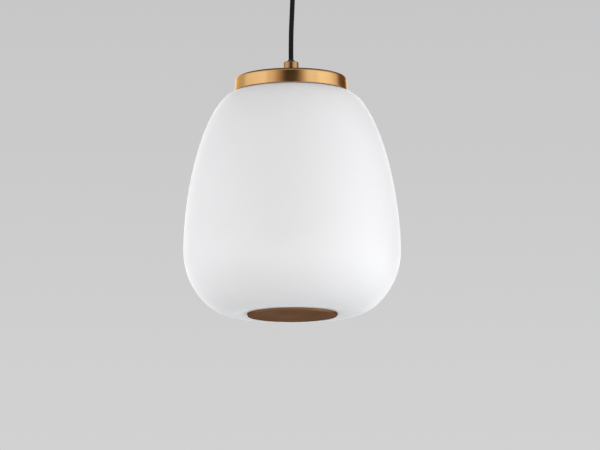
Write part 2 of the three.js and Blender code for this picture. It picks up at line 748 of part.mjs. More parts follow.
add(light, "mounting_strap", mountingStrap(), zincSteel);
add(light, "canopy_shell", canopyShell(), satinBrass);
addCanopyScrews();
add(light, "canopy_gland_body", canopyGripBody(), satinBrass);
const canopyNut = { flats: 14, bore: THREAD_HOLE_RADIUS, height: 4 };
add(light, "canopy_gland_nut", hexNut(canopyNut, CANOPY_WALL - CANOPY_DEPTH + GAP), zincSteel);
add(light, "terminal_block", terminalBlock(), whitePlastic);
addTerminals();
addEarthTerminal();
addCanopyWires();
addCord();
add(lamp, "lamp_gland_body", lampGripBody(), satinBrass);
addGripScrews();
add(lamp, "top_cap", topCap(), satinBrass);
addNipple();
addYoke();
add(lamp, "neck_gasket", neckGasket(), clearSilicone);
addLampholder();
addLampWires();
add(lamp, "glass_shade", glassShade(), opalGlass);
add(lamp, "bottom_disc", bottomDisc(), satinBrass);
add(lamp, "disc_boss", discBoss(), turnedBrass);
add(lamp, "bottom_gasket", ring(GASKET.inner, GASKET.outer, GASKET.bottom, GASKET.top, SEGMENTS.large), clearSilicone);
addBulb();

export default light;
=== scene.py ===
from math import asin, cos, degrees, pi, radians, sin, tan

import bmesh
import bpy
from mathutils import Matrix, Vector, noise


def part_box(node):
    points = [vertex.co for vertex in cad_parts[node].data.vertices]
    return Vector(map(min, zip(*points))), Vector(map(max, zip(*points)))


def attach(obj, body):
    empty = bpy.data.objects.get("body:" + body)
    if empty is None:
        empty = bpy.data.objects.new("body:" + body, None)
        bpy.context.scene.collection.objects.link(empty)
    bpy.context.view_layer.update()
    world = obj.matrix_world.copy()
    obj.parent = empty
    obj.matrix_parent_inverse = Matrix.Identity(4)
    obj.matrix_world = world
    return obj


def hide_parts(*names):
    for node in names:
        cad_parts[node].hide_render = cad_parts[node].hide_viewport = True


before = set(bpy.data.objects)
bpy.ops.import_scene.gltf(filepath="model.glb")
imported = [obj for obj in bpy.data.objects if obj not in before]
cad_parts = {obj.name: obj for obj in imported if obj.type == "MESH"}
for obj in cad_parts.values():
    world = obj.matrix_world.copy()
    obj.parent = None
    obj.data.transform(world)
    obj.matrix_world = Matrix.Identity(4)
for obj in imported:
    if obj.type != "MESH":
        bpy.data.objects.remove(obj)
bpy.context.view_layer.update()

MM = 0.001
TAU = 2 * pi
SHARP_DEGREES = 35  # an edge that turns by more than this stays sharp in the shading
SLOT_WIDTH = 0.8  # of every screw's slot
SLOT_DEPTH = 0.9
SCREW_SHANK = 1.6  # radii of a pan-head screw's shank and head
SCREW_HEAD = 3.4
SCREW_HEAD_HEIGHT = 2.2
SCREW_PITCH = 0.7
SCREW_HOLE = 1.95  # radius of the holes such a screw goes through
LAMP_PITCH = 3.62  # of the round thread between the lamp and its holder
ROD_X = 46  # how far the frame's rods stand from the middle
WIRE_RADIUS = 1.1


# ---------- places, all from the frame ----------

GLASS_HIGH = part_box("glass_shade")[1]
DISC_LOW, DISC_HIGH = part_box("bottom_disc")
CAP_LOW, CAP_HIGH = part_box("top_cap")
GRIP_LOW, GRIP_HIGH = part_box("lamp_gland_body")
CANOPY_LOW, CANOPY_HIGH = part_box("canopy_shell")
CANOPY_GRIP_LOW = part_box("canopy_gland_body")[0]
DISC_FACE = DISC_LOW.z  # height of the closing disc's underside
FLOOR_HEIGHT = -8.0  # so far down that the underside can be seen from above it


def base_and_height(node):
    """A CAD node's lowest point in metres, and its height in mm."""
    low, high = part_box(node)
    return low.z, (high.z - low.z) / MM


def middle_height(node):
    low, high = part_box(node)
    return (low.z + high.z) / 2


def add_object(name, data):
    made = bpy.data.objects.new(name, data)
    bpy.context.collection.objects.link(made)
    return made


# ---------- camera ----------

CAMERA_DISTANCE = 6.0
CAMERA_LOOKS_UP = radians(9.1)
CAMERA_ROLL = radians(-0.33)
CAMERA_LENS = 261.3
AIM_RIGHT = 0.0111
AIM_BELOW = 0.0231
AIM_HEIGHT = 0.150  # above the disc's underside, on the light's axis


def make_camera():
    data = bpy.data.cameras.new("camera")
    data.lens = CAMERA_LENS
    data.sensor_width = 36
    data.clip_start = 0.1
    data.clip_end = 60
    camera = add_object("camera", data)
    forward = Vector((0, cos(CAMERA_LOOKS_UP), sin(CAMERA_LOOKS_UP)))
    up = Vector((0, -sin(CAMERA_LOOKS_UP), cos(CAMERA_LOOKS_UP)))
    right = Vector((1, 0, 0))
    target = Vector((0, 0, DISC_FACE + AIM_HEIGHT)) + right * AIM_RIGHT - up * AIM_BELOW
    turn = Matrix((right, up, -forward)).transposed().to_4x4()
    place = Matrix.Translation(target - forward * CAMERA_DISTANCE)
    camera.matrix_world = place @ turn @ Matrix.Rotation(CAMERA_ROLL, 4, "Z")
    bpy.context.scene.camera = camera


make_camera()


# ---------- mesh helpers ----------

def shade_smoothly(mesh, sharp_degrees=SHARP_DEGREES):
    mesh.shade_smooth()
    mesh.set_sharp_from_angle(angle=radians(sharp_degrees))


def piece_from(name, points, faces, sharp_degrees=SHARP_DEGREES):
    mesh = bpy.data.meshes.new(name)
    mesh.from_pydata(points, [], faces)
    mesh.validate()
    shade_smoothly(mesh, sharp_degrees)
    return add_object(name, mesh)


def skin(points, faces, rings, wraps=False):
    """Adds rings, each a loop of as many points, and the faces between each one and the next."""
    start = len(points)
    count = len(rings[0])
    for ring in rings:
        points.extend(ring)
    for level in range(len(rings) if wraps else len(rings) - 1):
        low = start + level * count
        high = start + (level + 1) % len(rings) * count
        for step in range(count):
            after = (step + 1) % count
            faces.append((low + step, low + after, high + after, high + step))


def loft(name, rings, wraps=False, sharp_degrees=SHARP_DEGREES):
    """A piece through a list of rings. wraps joins the last ring to the first; otherwise each end is
    closed by a fan round its middle."""
    points, faces = [], []
    skin(points, faces, rings, wraps)
    count = len(rings[0])
    if not wraps:
        for level, flip in ((0, True), (len(rings) - 1, False)):
            start = level * count
            middle = sum((Vector(point) for point in rings[level]), Vector()) / count
            points.append(middle[:])
            for step in range(count):
                after = (step + 1) % count
                corner = (start + step, start + after, len(points) - 1)
                faces.append(corner[::-1] if flip else corner)
    piece = piece_from(name, points, faces, sharp_degrees)
    add_weighted_normals(piece)
    return piece


def add_weighted_normals(piece):
    modifier = piece.modifiers.new("weighted", "WEIGHTED_NORMAL")
    modifier.keep_sharp = True
    modifier.weight = 80


def arc(centre_x, centre_y, radius, start, end, steps):
    points = []
    for step in range(steps + 1):
        angle = radians(start + (end - start) * step / steps)
        points.append((centre_x + radius * cos(angle), centre_y + radius * sin(angle)))
    return points


def bezier(p0, p1, p2, p3, steps):
    points = []
    for step in range(steps + 1):
        t = step / steps
        weights = ((1 - t) ** 3, 3 * (1 - t) ** 2 * t, 3 * (1 - t) * t * t, t**3)
        points.append(tuple(sum(w * p[axis] for w, p in zip(weights, (p0, p1, p2, p3))) for axis in (0, 1)))
    return points


def softened(corners, steps=4):
    """An outline with rounded corners, from (radius, height, rounding) corners."""
    points = []
    for index, (x, y, rounding) in enumerate(corners):
        if rounding <= 0:
            points.append((x, y))
            continue
        here = Vector((x, y))
        before = Vector(corners[index - 1][:2]) - here
        after = Vector(corners[(index + 1) % len(corners)][:2]) - here
        half_turn = before.angle(after) / 2
        back = rounding / tan(half_turn)
        back = min(back, before.length * 0.49, after.length * 0.49)
        start = here + before.normalized() * back
        end = here + after.normalized() * back
        for step in range(steps + 1):
            t = step / steps
            point = start * (1 - t) ** 2 + here * 2 * (1 - t) * t + end * t * t
            points.append((point.x, point.y))
    return points


def section_area(outline):
    """Signed area of an outline: positive when the solid is on the left of its run."""
    following = [*outline[1:], outline[0]]
    return sum(p[0] * q[1] - q[0] * p[1] for p, q in zip(outline, following)) / 2


def tooth(height, turn, pitch):
    """How deep into a right-hand thread's groove a point lies, from 0 on the crest to 1 in the root."""
    return abs(((height / pitch - turn) % 1.0) * 2 - 1)


def turned_ring(segments, radius_at, height_at, centre_x=0, base=0.0):
    """A ring of points about a vertical axis. radius_at and height_at give mm for a share of a turn."""
    ring = []
    for step in range(segments):
        turn = step / segments
        reach = radius_at(turn) * MM
        ring.append((centre_x * MM + reach * cos(TAU * turn), reach * sin(TAU * turn),
                     base + height_at(turn) * MM))
    return ring


def lathe(name, outline, segments=96, base=0.0, pitch=1.0, sharp_degrees=SHARP_DEGREES):
    """Turns an outline of (radius, height) points in mm about a vertical axis. One that starts and
    ends on the axis makes a full shape, any other a ring. A point's third value is its thread's depth."""
    closed = outline[0][0] > 0
    if section_area(outline) < 0:
        outline = outline[::-1]
    rings = []
    for radius, height, *thread in outline:
        if radius < 1e-6:
            continue
        depth = thread[0] if thread else 0
        rings.append(turned_ring(segments, lambda turn: radius - depth * tooth(height, turn, pitch),
                                 lambda turn: height, base=base))
    return loft(name, rings, closed, sharp_degrees)


def thread_run(radius, low, high, depth, pitch):
    """Outline points along a thread, which runs out at both ends."""
    steps = max(2, round((high - low) / pitch * 6))
    points = []
    for step in range(steps + 1):
        height = low + (high - low) * step / steps
        fade = min(1.0, (height - low) / (0.5 * pitch), (high - height) / (0.5 * pitch))
        points.append((radius, height, depth * fade))
    return points


def prism(name, outline, low, high):
    """A flat piece: an outline of (x, y) points in mm, from height low to high."""
    if section_area(outline) < 0:
        outline = outline[::-1]
    count = len(outline)
    points = [(x * MM, y * MM, z * MM) for z in (low, high) for x, y in outline]
    faces = [tuple(range(count))[::-1], tuple(range(count, 2 * count))]
    faces += [(i, (i + 1) % count, (i + 1) % count + count, i + count) for i in range(count)]
    return piece_from(name, points, faces)


def rounded_rectangle(half_x, half_y, corner, steps, middle_x=0):
    """An outline of (x, y) points, from its middle, half sizes and corners' radius."""
    reach_x, reach_y = half_x - corner, half_y - corner
    outline = []
    for x, y, start in ((1, 1, 0), (-1, 1, 90), (-1, -1, 180), (1, -1, 270)):
        outline += arc(middle_x + x * reach_x, y * reach_y, corner, start, start + 90, steps)
    return outline


def drill(radius, low, high, offset=(0, 0, 0), turn=None):
    """A plain round cutter, along Z before its turn."""
    sides = 40
    circle = [(radius * cos(TAU * k / sides), radius * sin(TAU * k / sides)) for k in range(sides)]
    return placed(prism("hole", circle, low, high), offset, turn)


def block(low, high):
    """A square-edged cutter between two opposite corners."""
    return prism("notch", [(low[0], low[1]), (high[0], low[1]), (high[0], high[1]), (low[0], high[1])],
                 low[2], high[2])


def placed(piece, offset=(0, 0, 0), turn=None):
    """Moves a piece's own mesh: turned first, then shifted by an offset in mm."""
    if turn:
        amount, axis = turn
        piece.data.transform(Matrix.Rotation(radians(amount), 4, axis))
    piece.data.transform(Matrix.Translation(Vector(offset) * MM))
    return piece


def carved(piece, *cutters):
    """Cuts the other pieces out of this one, and removes them."""
    others = list(piece.modifiers)
    for other in others:
        other.show_viewport = False
    for cutter in cutters:
        modifier = piece.modifiers.new("cut", "BOOLEAN")
        modifier.operation = "DIFFERENCE"
        modifier.solver = "EXACT"
        modifier.object = cutter
        bpy.context.view_layer.update()
        graph = bpy.context.evaluated_depsgraph_get()
        mesh = bpy.data.meshes.new_from_object(piece.evaluated_get(graph))
        piece.modifiers.remove(modifier)
        old = piece.data
        piece.data = mesh
        bpy.data.meshes.remove(old)
        bpy.data.objects.remove(cutter)
    for other in others:
        other.show_viewport = True
    shade_smoothly(piece.data)
    return piece


def eased(piece, width, segments=3):
    """Rounds a machined or moulded piece's edges, in mm."""
    bevel = piece.modifiers.new("eased", "BEVEL")
    bevel.width = width * MM
    bevel.segments = segments
    bevel.limit_method = "ANGLE"
    bevel.angle_limit = radians(SHARP_DEGREES)
    bevel.harden_normals = True
    add_weighted_normals(piece)


def merged(name, pieces):
    """One piece out of several, keeping each one's shape."""
    mesh = bmesh.new()
    graph = bpy.context.evaluated_depsgraph_get()
    for piece in pieces:
        shape = bpy.data.meshes.new_from_object(piece.evaluated_get(graph))
        mesh.from_mesh(shape)
        bpy.data.meshes.remove(shape)
        bpy.data.objects.remove(piece)
    data = bpy.data.meshes.new(name)
    mesh.to_mesh(data)
    mesh.free()
    shade_smoothly(data)
    whole = add_object(name, data)
    add_weighted_normals(whole)
    return whole


def hex_nut(name, flats, bore, height, x, base, pitch, thread):
    """A nut with both ends chamfered and a threaded hole, at a distance x from the middle."""
    inscribed = flats / 2
    slope = tan(radians(30))

    def ring(radius_at, height_at):
        return turned_ring(96, radius_at, height_at, x, base)

    def side(turn):
        """Distance from the nut's middle to its side, with a corner at turn 0."""
        return flats / 2 / cos(radians((turn * 360) % 60 - 30))

    def chamfer(turn):
        return (side(turn) - inscribed * 0.97) * slope

    rings = [
        ring(lambda turn: inscribed * 0.94, lambda turn: 0),
        ring(side, chamfer),
        ring(side, lambda turn: height - chamfer(turn)),
        ring(lambda turn: inscribed * 0.94, lambda turn: height),
        ring(lambda turn: bore + thread, lambda turn: height),
    ]
    steps = max(4, round(height / pitch * 5))
    for step in range(steps + 1):
        z = (height - 0.4) + (0.8 - height) * step / steps
        rings.append(ring(lambda turn: bore + thread * tooth(z, turn, pitch), lambda turn: z))
    rings.append(ring(lambda turn: bore + thread, lambda turn: 0))
    return loft(name, rings, True, 30)


def pan_screw(name, length):
    """A slotted pan-head screw: head above the origin, threaded shank below."""
    shank, head, top = SCREW_SHANK, SCREW_HEAD, SCREW_HEAD_HEIGHT
    outline = [(0, -length), (shank * 0.7, -length),
               *thread_run(shank, -length + 0.3, -0.6, 0.28, SCREW_PITCH),
               (shank, 0), (head - 0.15, 0), (head, 0.15), (head, top * 0.4)]
    outline += bezier((head, top * 0.4), (head, top * 0.85), (head * 0.7, top), (head * 0.3, top), 8)[1:]
    outline.append((0, top))
    screw = lathe(name, outline, 40, pitch=SCREW_PITCH)
    return carved(screw, block((-head - 1, -SLOT_WIDTH / 2, top - SLOT_DEPTH),
                               (head + 1, SLOT_WIDTH / 2, top + 1)))


def spline(points, steps):
    """A smooth line through the points (Catmull-Rom), with evenly many steps in each stretch."""
    padded = [points[0] * 2 - points[1], *points, points[-1] * 2 - points[-2]]
    line = []
    for index in range(1, len(padded) - 2):
        a, b, c, d = padded[index - 1 : index + 3]
        for step in range(steps):
            t = step / steps
            line.append(0.5 * (2 * b + (c - a) * t + (2 * a - 5 * b + 4 * c - d) * t * t
                               + (3 * b - a - 3 * c + d) * t**3))
    line.append(points[-1].copy())
    return line


def resampled(line, spacing):
    out = [line[0]]
    for point in line[1:]:
        while (point - out[-1]).length >= spacing:
            out.append(out[-1] + (point - out[-1]).normalized() * spacing)
    return out


def along(points, steps=12):
    """A smooth line through points in mm (Catmull-Rom), in metres."""
    return spline([Vector(point) * MM for point in points], steps)


def tangents(line):
    """The direction of a line at each of its points."""
    ahead = [*line[1:], line[-1]]
    behind = [line[0], *line[:-1]]
    return [(after - before).normalized() for before, after in zip(behind, ahead)]


def ring_about(point, side_x, side_y, radius, sides):
    return [(point + (side_x * cos(angle) + side_y * sin(angle)) * radius)[:]
            for angle in (TAU * k / sides for k in range(sides))]


def round_bar(name, line, radius):
    """A round bar along a line, both in metres."""
    rings = []
    normal = None
    for point, tangent in zip(line, tangents(line)):
        if normal is None:
            normal = tangent.orthogonal().normalized()
        normal = (normal - tangent * normal.dot(tangent)).normalized()
        rings.append(ring_about(point, normal, tangent.cross(normal), radius, 20))
    return loft(name, rings, False, 50)


def take_over(piece, node, body, material, slot=None):
    """The piece stands for a CAD node, rides on its body and takes a material. Its slot argument is not
    used."""
    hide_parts(node)
    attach(piece, body)
    slot or material.name.split(".")[0]  # without the number that Blender may add
    piece.data.materials.append(material)


def turned_part(name, node, body, material, corners, steps=4, segments=96, base=DISC_FACE, slot=None):
    """A plain turned part for a CAD node, from the corners of its section."""
    take_over(lathe(name, softened(corners, steps), segments, base), node, body, material, slot)


# ---------- material helpers ----------

class Graph:
    """A node tree under construction."""

    def __init__(self, tree):
        self.tree = tree

    def node(self, kind, inputs=(), **settings):
        made = self.tree.nodes.new(kind)
        for key, value in settings.items():
            setattr(made, key, value)
        for key, value in dict(inputs).items():
            if isinstance(value, bpy.types.NodeSocket):
                self.tree.links.new(value, made.inputs[key])
            else:
                made.inputs[key].default_value = value
        return made

    def math(self, operation, first, second=0.0):
        return self.node("ShaderNodeMath", {0: first, 1: second}, operation=operation).outputs[0]

    def split(self, vector):
        return self.node("ShaderNodeSeparateXYZ", {0: vector}).outputs

    def object_point(self):
        return self.node("ShaderNodeTexCoord").outputs["Object"]

    def noise(self, vector, scale, detail=4.0, roughness=0.55):
        inputs = {"Vector": vector, "Scale": scale, "Detail": detail, "Roughness": roughness}
        return self.node("ShaderNodeTexNoise", inputs).outputs["Fac"]

    def times(self, vector, factors):
        return self.node("ShaderNodeVectorMath", {0: vector, 1: factors}, operation="MULTIPLY").outputs[0]

    def span(self, value, low, high, to_low, to_high):
        inputs = {"Value": value, "From Min": low, "From Max": high, "To Min": to_low, "To Max": to_high}
        return self.node("ShaderNodeMapRange", inputs).outputs["Result"]

    def ramp(self, value, stops):
        made = self.node("ShaderNodeValToRGB", {"Fac": value})
        ramp = made.color_ramp
        while len(ramp.elements) < len(stops):
            ramp.elements.new(0.5)
        for element, (position, color) in zip(ramp.elements, stops):
            element.position = position
            element.color = (*color, 1)
        return made.outputs["Color"]

    def mix(self, share, first, second):
        first, second = ((*color, 1) if isinstance(color, tuple) else color for color in (first, second))
        inputs = {"Factor": share, 6: first, 7: second}
        return self.node("ShaderNodeMix", inputs, data_type="RGBA").outputs[2]


class Paint(Graph):
    """A material under construction: one Principled shader and what drives it."""

    def __init__(self, name, **values):
        self.material = bpy.data.materials.new(name)
        self.material.use_nodes = True
        super().__init__(self.material.node_tree)
        self.shader = self.tree.nodes["Principled BSDF"]
        for key, value in values.items():
            self.shader.inputs[key.replace("_", " ")].default_value = value

    def drive(self, **sockets):
        for key, value in sockets.items():
            self.tree.links.new(value, self.shader.inputs[key.replace("_", " ")])

    def bump(self, height, distance, strength=1.0):
        made = self.node("ShaderNodeBump", {"Height": height, "Distance": distance, "Strength": strength})
        self.drive(Normal=made.outputs[0])

    def turned_point(self):
        """(distance from the vertical axis, 0, height): noise on it makes lathe rings."""
        x, y, z = self.split(self.object_point())
        squares = self.math("ADD", self.math("MULTIPLY", x, x), self.math("MULTIPLY", y, y))
        radius = self.math("SQRT", squares)
        return self.node("ShaderNodeCombineXYZ", {0: radius, 2: z}).outputs[0]

    def clouded(self, clouds, dark, light, start=0.3):
        """A base colour that goes from dark to light with the clouds."""
        self.drive(Base_Color=self.ramp(clouds, [(start, dark), (0.7, light)]))


# Painted shade: a brown band that darkens the cap's rounded top edge, set by how far the surface turns
# there.
PAINTED_EDGE_SHADE = (0.05, 0.026, 0.012)
EDGE_SHARE = 0.95
EDGE_OUT = (radians(18), radians(42))  # the turns up a rounded edge over which the painted shade starts
EDGE_UP = (radians(84), radians(100))  # and those over which it ends


def brass_material(name, bright, deep, rough, line_depth, patina_shade=0.0, patina_shade_color=None,
                   edge_tint=(1, 1, 1, 1), dark_edge=None):
    """Satin brass: fine lathe lines, soft cloudy tone, and dark patina clouds where asked, which also paint
    shade. dark_edge is the (radius, height) in metres of a rounded top edge's centre, which a painted shade
    darkens."""
    made = Paint(name, Metallic=1.0, Specular_Tint=edge_tint)
    point = made.object_point()
    lines = made.noise(made.turned_point(), 5200, 2.0, 0.6)
    broad = made.noise(made.turned_point(), 700, 3.0, 0.5)
    clouds = made.noise(point, 24, 5.0, 0.6)
    specks = made.noise(point, 900, 3.0, 0.7)
    tone = made.math("ADD", made.math("MULTIPLY", clouds, 0.6), made.math("MULTIPLY", broad, 0.4))
    color = made.ramp(tone, [(0.35, deep), (0.62, bright)])
    # dark patina clouds, which on the disc also paint shade
    if patina_shade > 0:
        spots = made.math("ADD", made.math("MULTIPLY", clouds, 0.55), made.math("MULTIPLY", specks, 0.45))
        color = made.mix(made.span(spots, 0.40, 0.62, 0.0, patina_shade), color, patina_shade_color)
    # painted shade along the rounded top edge
    if dark_edge:
        radius, _, height = made.split(made.turned_point())
        lean = made.math("ARCTAN2", made.math("SUBTRACT", height, dark_edge[1]),
                         made.math("SUBTRACT", radius, dark_edge[0]))
        share = made.math("MINIMUM", made.span(lean, *EDGE_OUT, 0.0, EDGE_SHARE),
                          made.span(lean, *EDGE_UP, EDGE_SHARE, 0.0))
        color = made.mix(share, color, PAINTED_EDGE_SHADE)
    made.drive(Base_Color=color)
    made.drive(Roughness=made.math("ADD", made.span(clouds, 0.3, 0.7, rough - 0.04, rough + 0.05),
                                   made.span(lines, 0.3, 0.7, -0.03, 0.03)))
    made.bump(made.math("ADD", made.math("MULTIPLY", lines, 0.7), made.math("MULTIPLY", specks, 0.3)),
              line_depth)
    return made.material


def opal_glass_material():
    """White opal glass with an acid-etched surface."""
    made = Paint("opal_glass", Subsurface_Weight=0.55, Subsurface_Scale=0.012, Roughness=0.42, IOR=1.5,
                 Subsurface_Radius=(1.0, 0.96, 0.9))
    point = made.object_point()
    clouds = made.noise(point, 7, 4.0, 0.5)
    grain = made.noise(point, 1800, 2.0, 0.6)
    made.clouded(clouds, (0.914, 0.918, 0.924), (0.942, 0.946, 0.952))
    made.drive(Roughness=made.span(made.math("ADD", clouds, made.math("MULTIPLY", grain, 0.3)),
                                   0.4, 0.9, 0.40, 0.50))
    made.bump(grain, 0.00002, 0.5)
    return made.material


def steel_material(name, color, rough):
    made = Paint(name, Metallic=1.0)
    point = made.object_point()
    clouds = made.noise(point, 180, 5.0, 0.6)
    made.clouded(clouds, tuple(channel * 0.78 for channel in color), color)
    made.drive(Roughness=made.span(clouds, 0.3, 0.7, rough - 0.06, rough + 0.08))
    made.bump(made.noise(made.times(point, (3000, 300, 3000)), 1.0, 2.0), 0.00001)
    return made.material


def plastic_material(name, color, rough, grain=0.00002):
    made = Paint(name)
    point = made.object_point()
    made.clouded(made.noise(point, 60, 3.0, 0.5), tuple(channel * 0.93 for channel in color), color)
    speckle = made.noise(point, 2500, 2.0, 0.5)
    made.drive(Roughness=made.span(speckle, 0.3, 0.7, rough - 0.04, rough + 0.05))
    made.bump(speckle, grain)
    return made.material


def braid_material():
    """Cotton-look yarn: dark, matt, with lighter fibre flecks and a soft sheen."""
    made = Paint("black_braid", Roughness=0.9, Sheen_Weight=0.08, Sheen_Roughness=0.5,
                 Specular_IOR_Level=0.12)
    fibres = made.noise(made.object_point(), 4200, 3.0, 0.7)
    made.clouded(fibres, (0.004, 0.004, 0.005), (0.013, 0.013, 0.015), 0.35)
    made.bump(fibres, 0.00006)
    return made.material


def rubber_material():
    made = Paint("black_rubber")
    grain = made.noise(made.object_point(), 2200, 3.0, 0.6)
    made.clouded(grain, (0.008, 0.008, 0.008), (0.02, 0.02, 0.02))
    made.drive(Roughness=made.span(grain, 0.3, 0.7, 0.55, 0.7))
    made.bump(grain, 0.00003)
    return made.material


CAP_WIDER = 1.4  # how much further out the cap is at its rim than at its top
CAP_EDGE = 4.5  # the rounding between its top and its side
EDGE_CENTRE = (CAP_HIGH.x - CAP_WIDER * MM - CAP_EDGE * MM, CAP_HIGH.z - CAP_EDGE * MM)
SATIN = (0.543, 0.338, 0.147), (0.488, 0.290, 0.117), 0.22, 0.000005
SATIN_TINT = (0.88, 0.68, 0.45, 1)
CAP_BRASS = brass_material("cap_brass", *SATIN, edge_tint=SATIN_TINT, dark_edge=EDGE_CENTRE)
CANOPY_BRASS = brass_material("canopy_brass", *SATIN, edge_tint=SATIN_TINT)
# Painted shade: the grips are drawn in a darker copy of the cap's satin brass.
GRIP_SHADED_BRASS = brass_material("grip_shaded_brass", (0.33, 0.200, 0.104), (0.285, 0.165, 0.082), 0.28, 0.000005,
                            edge_tint=SATIN_TINT)
# Painted shade: the downward-facing disc is drawn in much darker, redder brass than the cap, and its dark
# patina clouds darken it further.
DISC_SHADED_BRASS = brass_material("disc_shaded_brass", (0.247, 0.127, 0.062), (0.173, 0.088, 0.046), 0.42, 0.00002,
                            0.6, (0.060, 0.034, 0.022), (0.42, 0.32, 0.25, 1))
TURNED_BRASS = brass_material("turned_brass", (0.88, 0.62, 0.3), (0.78, 0.52, 0.24), 0.25, 0.00001)
OPAL = opal_glass_material()
ZINC = steel_material("zinc_steel", (0.72, 0.73, 0.75), 0.36)
BRAID = braid_material()
RUBBER = rubber_material()
WHITE_PLASTIC = plastic_material("white_plastic", (0.86, 0.86, 0.84), 0.45)
CERAMIC = plastic_material("holder_ceramic", (0.8, 0.77, 0.7), 0.2, 0.000008)
SILICONE = plastic_material("clear_silicone", (0.7, 0.7, 0.68), 0.5)
BROWN_SLEEVE = plastic_material("brown_sleeve", (0.16, 0.06, 0.025), 0.4)
BLUE_SLEEVE = plastic_material("blue_sleeve", (0.03, 0.12, 0.42), 0.4)
GREEN_SLEEVE = plastic_material("green_sleeve", (0.16, 0.34, 0.03), 0.4)
DIFFUSER = plastic_material("bulb_diffuser", (0.88, 0.88, 0.87), 0.35, 0.00001)
BLACK_BEAD = plastic_material("black_bead", (0.015, 0.015, 0.016), 0.15, 0.000005)


# ---------- glass shade ----------

GLASS_WALL = 3.0
BELLY_HEIGHT = 90.0
HOLE_RADIUS = 46.0
SEAT_RADIUS = 66.0
SEAT_HEIGHT = 3.5
FOOT_RADIUS = 82.0
FOOT_HEIGHT = 2.2
NECK_RADIUS = 74.5
SHOULDER_HEIGHT = 311.5
NECK_CORNER = 2.2
SHOULDER_SLOPE = 0.06
WAVE_START = 0.085  # metres from the axis, where the glass starts to be uneven
WAVE_FADE = 0.05
WAVE_DEPTH = 0.0016


def glass_outside():
    """The glass's outside in mm, heights above the disc's underside, from the bottom hole out and up."""
    wide = GLASS_HIGH.x / MM
    top = (GLASS_HIGH.z - DISC_FACE) / MM
    seat = (SEAT_RADIUS, SEAT_HEIGHT)
    foot = (FOOT_RADIUS, FOOT_HEIGHT)
    belly = (wide, BELLY_HEIGHT)
    shoulder_x = NECK_RADIUS + NECK_CORNER
    shoulder_y = SHOULDER_HEIGHT - NECK_CORNER * SHOULDER_SLOPE
    dip = bezier(seat, (SEAT_RADIUS + 5, SEAT_HEIGHT), (FOOT_RADIUS - 7, FOOT_HEIGHT), foot, 10)
    lower = bezier(foot, (FOOT_RADIUS + 30, FOOT_HEIGHT), (wide, BELLY_HEIGHT - 50), belly, 48)
    upper = bezier(belly, (wide, BELLY_HEIGHT + 97), (shoulder_x + 38, shoulder_y - 38 * SHOULDER_SLOPE),
                   (shoulder_x, shoulder_y), 64)
    corner = [(NECK_RADIUS + NECK_CORNER * (1 - sin(radians(turn))),
               SHOULDER_HEIGHT + NECK_CORNER * (1 - cos(radians(turn)))) for turn in range(15, 91, 15)]
    neck = [(NECK_RADIUS, SHOULDER_HEIGHT + 8), (NECK_RADIUS, top - 1.4)]
    return [(HOLE_RADIUS, SEAT_HEIGHT), (55.0, SEAT_HEIGHT), seat, *dip[1:], *lower[1:], *upper[1:],
            *corner, *neck]


def offset_inward(outline, wall):
    directions = tangents([Vector(point) for point in outline])
    return [(x - run.y * wall, y + run.x * wall) for (x, y), run in zip(outline, directions)]


def rounded_lip(outer, inner, steps=5):
    """A half round between the two faces of the glass at one of its edges."""
    start, end = Vector(outer), Vector(inner)
    middle = (start + end) / 2
    arm = start - middle
    out = Vector((-arm.y, arm.x))
    points = []
    for step in range(1, steps):
        angle = pi * step / steps
        point = middle + arm * cos(angle) + out * sin(angle)
        points.append((point.x, point.y))
    return points


def make_glass():
    outside = glass_outside()
    inside = offset_inward(outside, GLASS_WALL)
    top_lip = rounded_lip(outside[-1], inside[-1])
    hole_lip = rounded_lip(inside[0], outside[0])
    outline = outside + top_lip + inside[::-1] + hole_lip
    piece = lathe("shade_glass", outline, 160, DISC_FACE, sharp_degrees=80)
    for vertex in piece.data.vertices:  # mouth-blown: the belly isn't perfectly round
        point = vertex.co
        share = min(1.0, max(0.0, (point.xy.length - WAVE_START) / WAVE_FADE))
        wave = noise.noise(Vector((point.x * 9, point.y * 9, point.z * 7)))
        point.xy *= 1 - WAVE_DEPTH * share * (0.5 + 0.5 * wave)
    take_over(piece, "glass_shade", "shade", OPAL)


make_glass()


# ---------- cap, disc, grips ----------

RIM_GAP = 0.7  # the cap's rim stands this much clear of the glass's shoulder, beside the CAD's own gap
SHEET = 1.2  # thickness of the spun brass
CORD_HOLE = 5.4
GRIP_RADIUS = 10.45
GRUB_RADIUS = 1.35
GRUB_HOLE = 1.7
GRUB_DROP = 5  # from a grip's free end to its screw
UPPER_GRIP_HEIGHT = 17.7


def make_cap():
    top = (CAP_HIGH.z - DISC_FACE) / MM
    rim = (CAP_LOW.z - DISC_FACE) / MM
    wide = CAP_HIGH.x / MM
    narrow = wide - CAP_WIDER
    corners = [
        (CORD_HOLE, top - SHEET, 0.1),
        (narrow - SHEET, top - SHEET, 3.3),
        (wide - SHEET, rim + RIM_GAP, 0.2),
        (wide, rim + RIM_GAP, 0.45),
        (narrow, top, CAP_EDGE),
        (CORD_HOLE, top, 0.2),
    ]
    turned_part("cap_shell", "top_cap", "lamp", CAP_BRASS, corners, 10, 192, slot="satin_brass")


def make_disc():
    wide = DISC_HIGH.x / MM
    rim = (DISC_HIGH.z - DISC_FACE) / MM
    corners = [
        (0, 0, 0),
        (wide * 0.5, 0.0, 0),
        (wide - SHEET, 0, 0.8),
        (wide, rim, 0.3),
        (wide - SHEET, rim, 0.3),
        (wide - SHEET, SHEET, 0.8),
        (0, SHEET, 0),
    ]
    turned_part("closing_disc", "bottom_disc", "disc", DISC_SHADED_BRASS, corners, 8, 192, slot="satin_brass")


def grip_corners(height):
    """The part of a cord grip's section that both grips share, from the seat's edge up and in."""
    return [
        (GRIP_RADIUS, 0, 0.3),
        (GRIP_RADIUS, height, 1.6),
        (6.0, height, 0.1),
        (5.2, height - 0.5, 0.2),
        (5.2, height - 7, 0.1),
        (3.4, height - 7, 0.2),
    ]


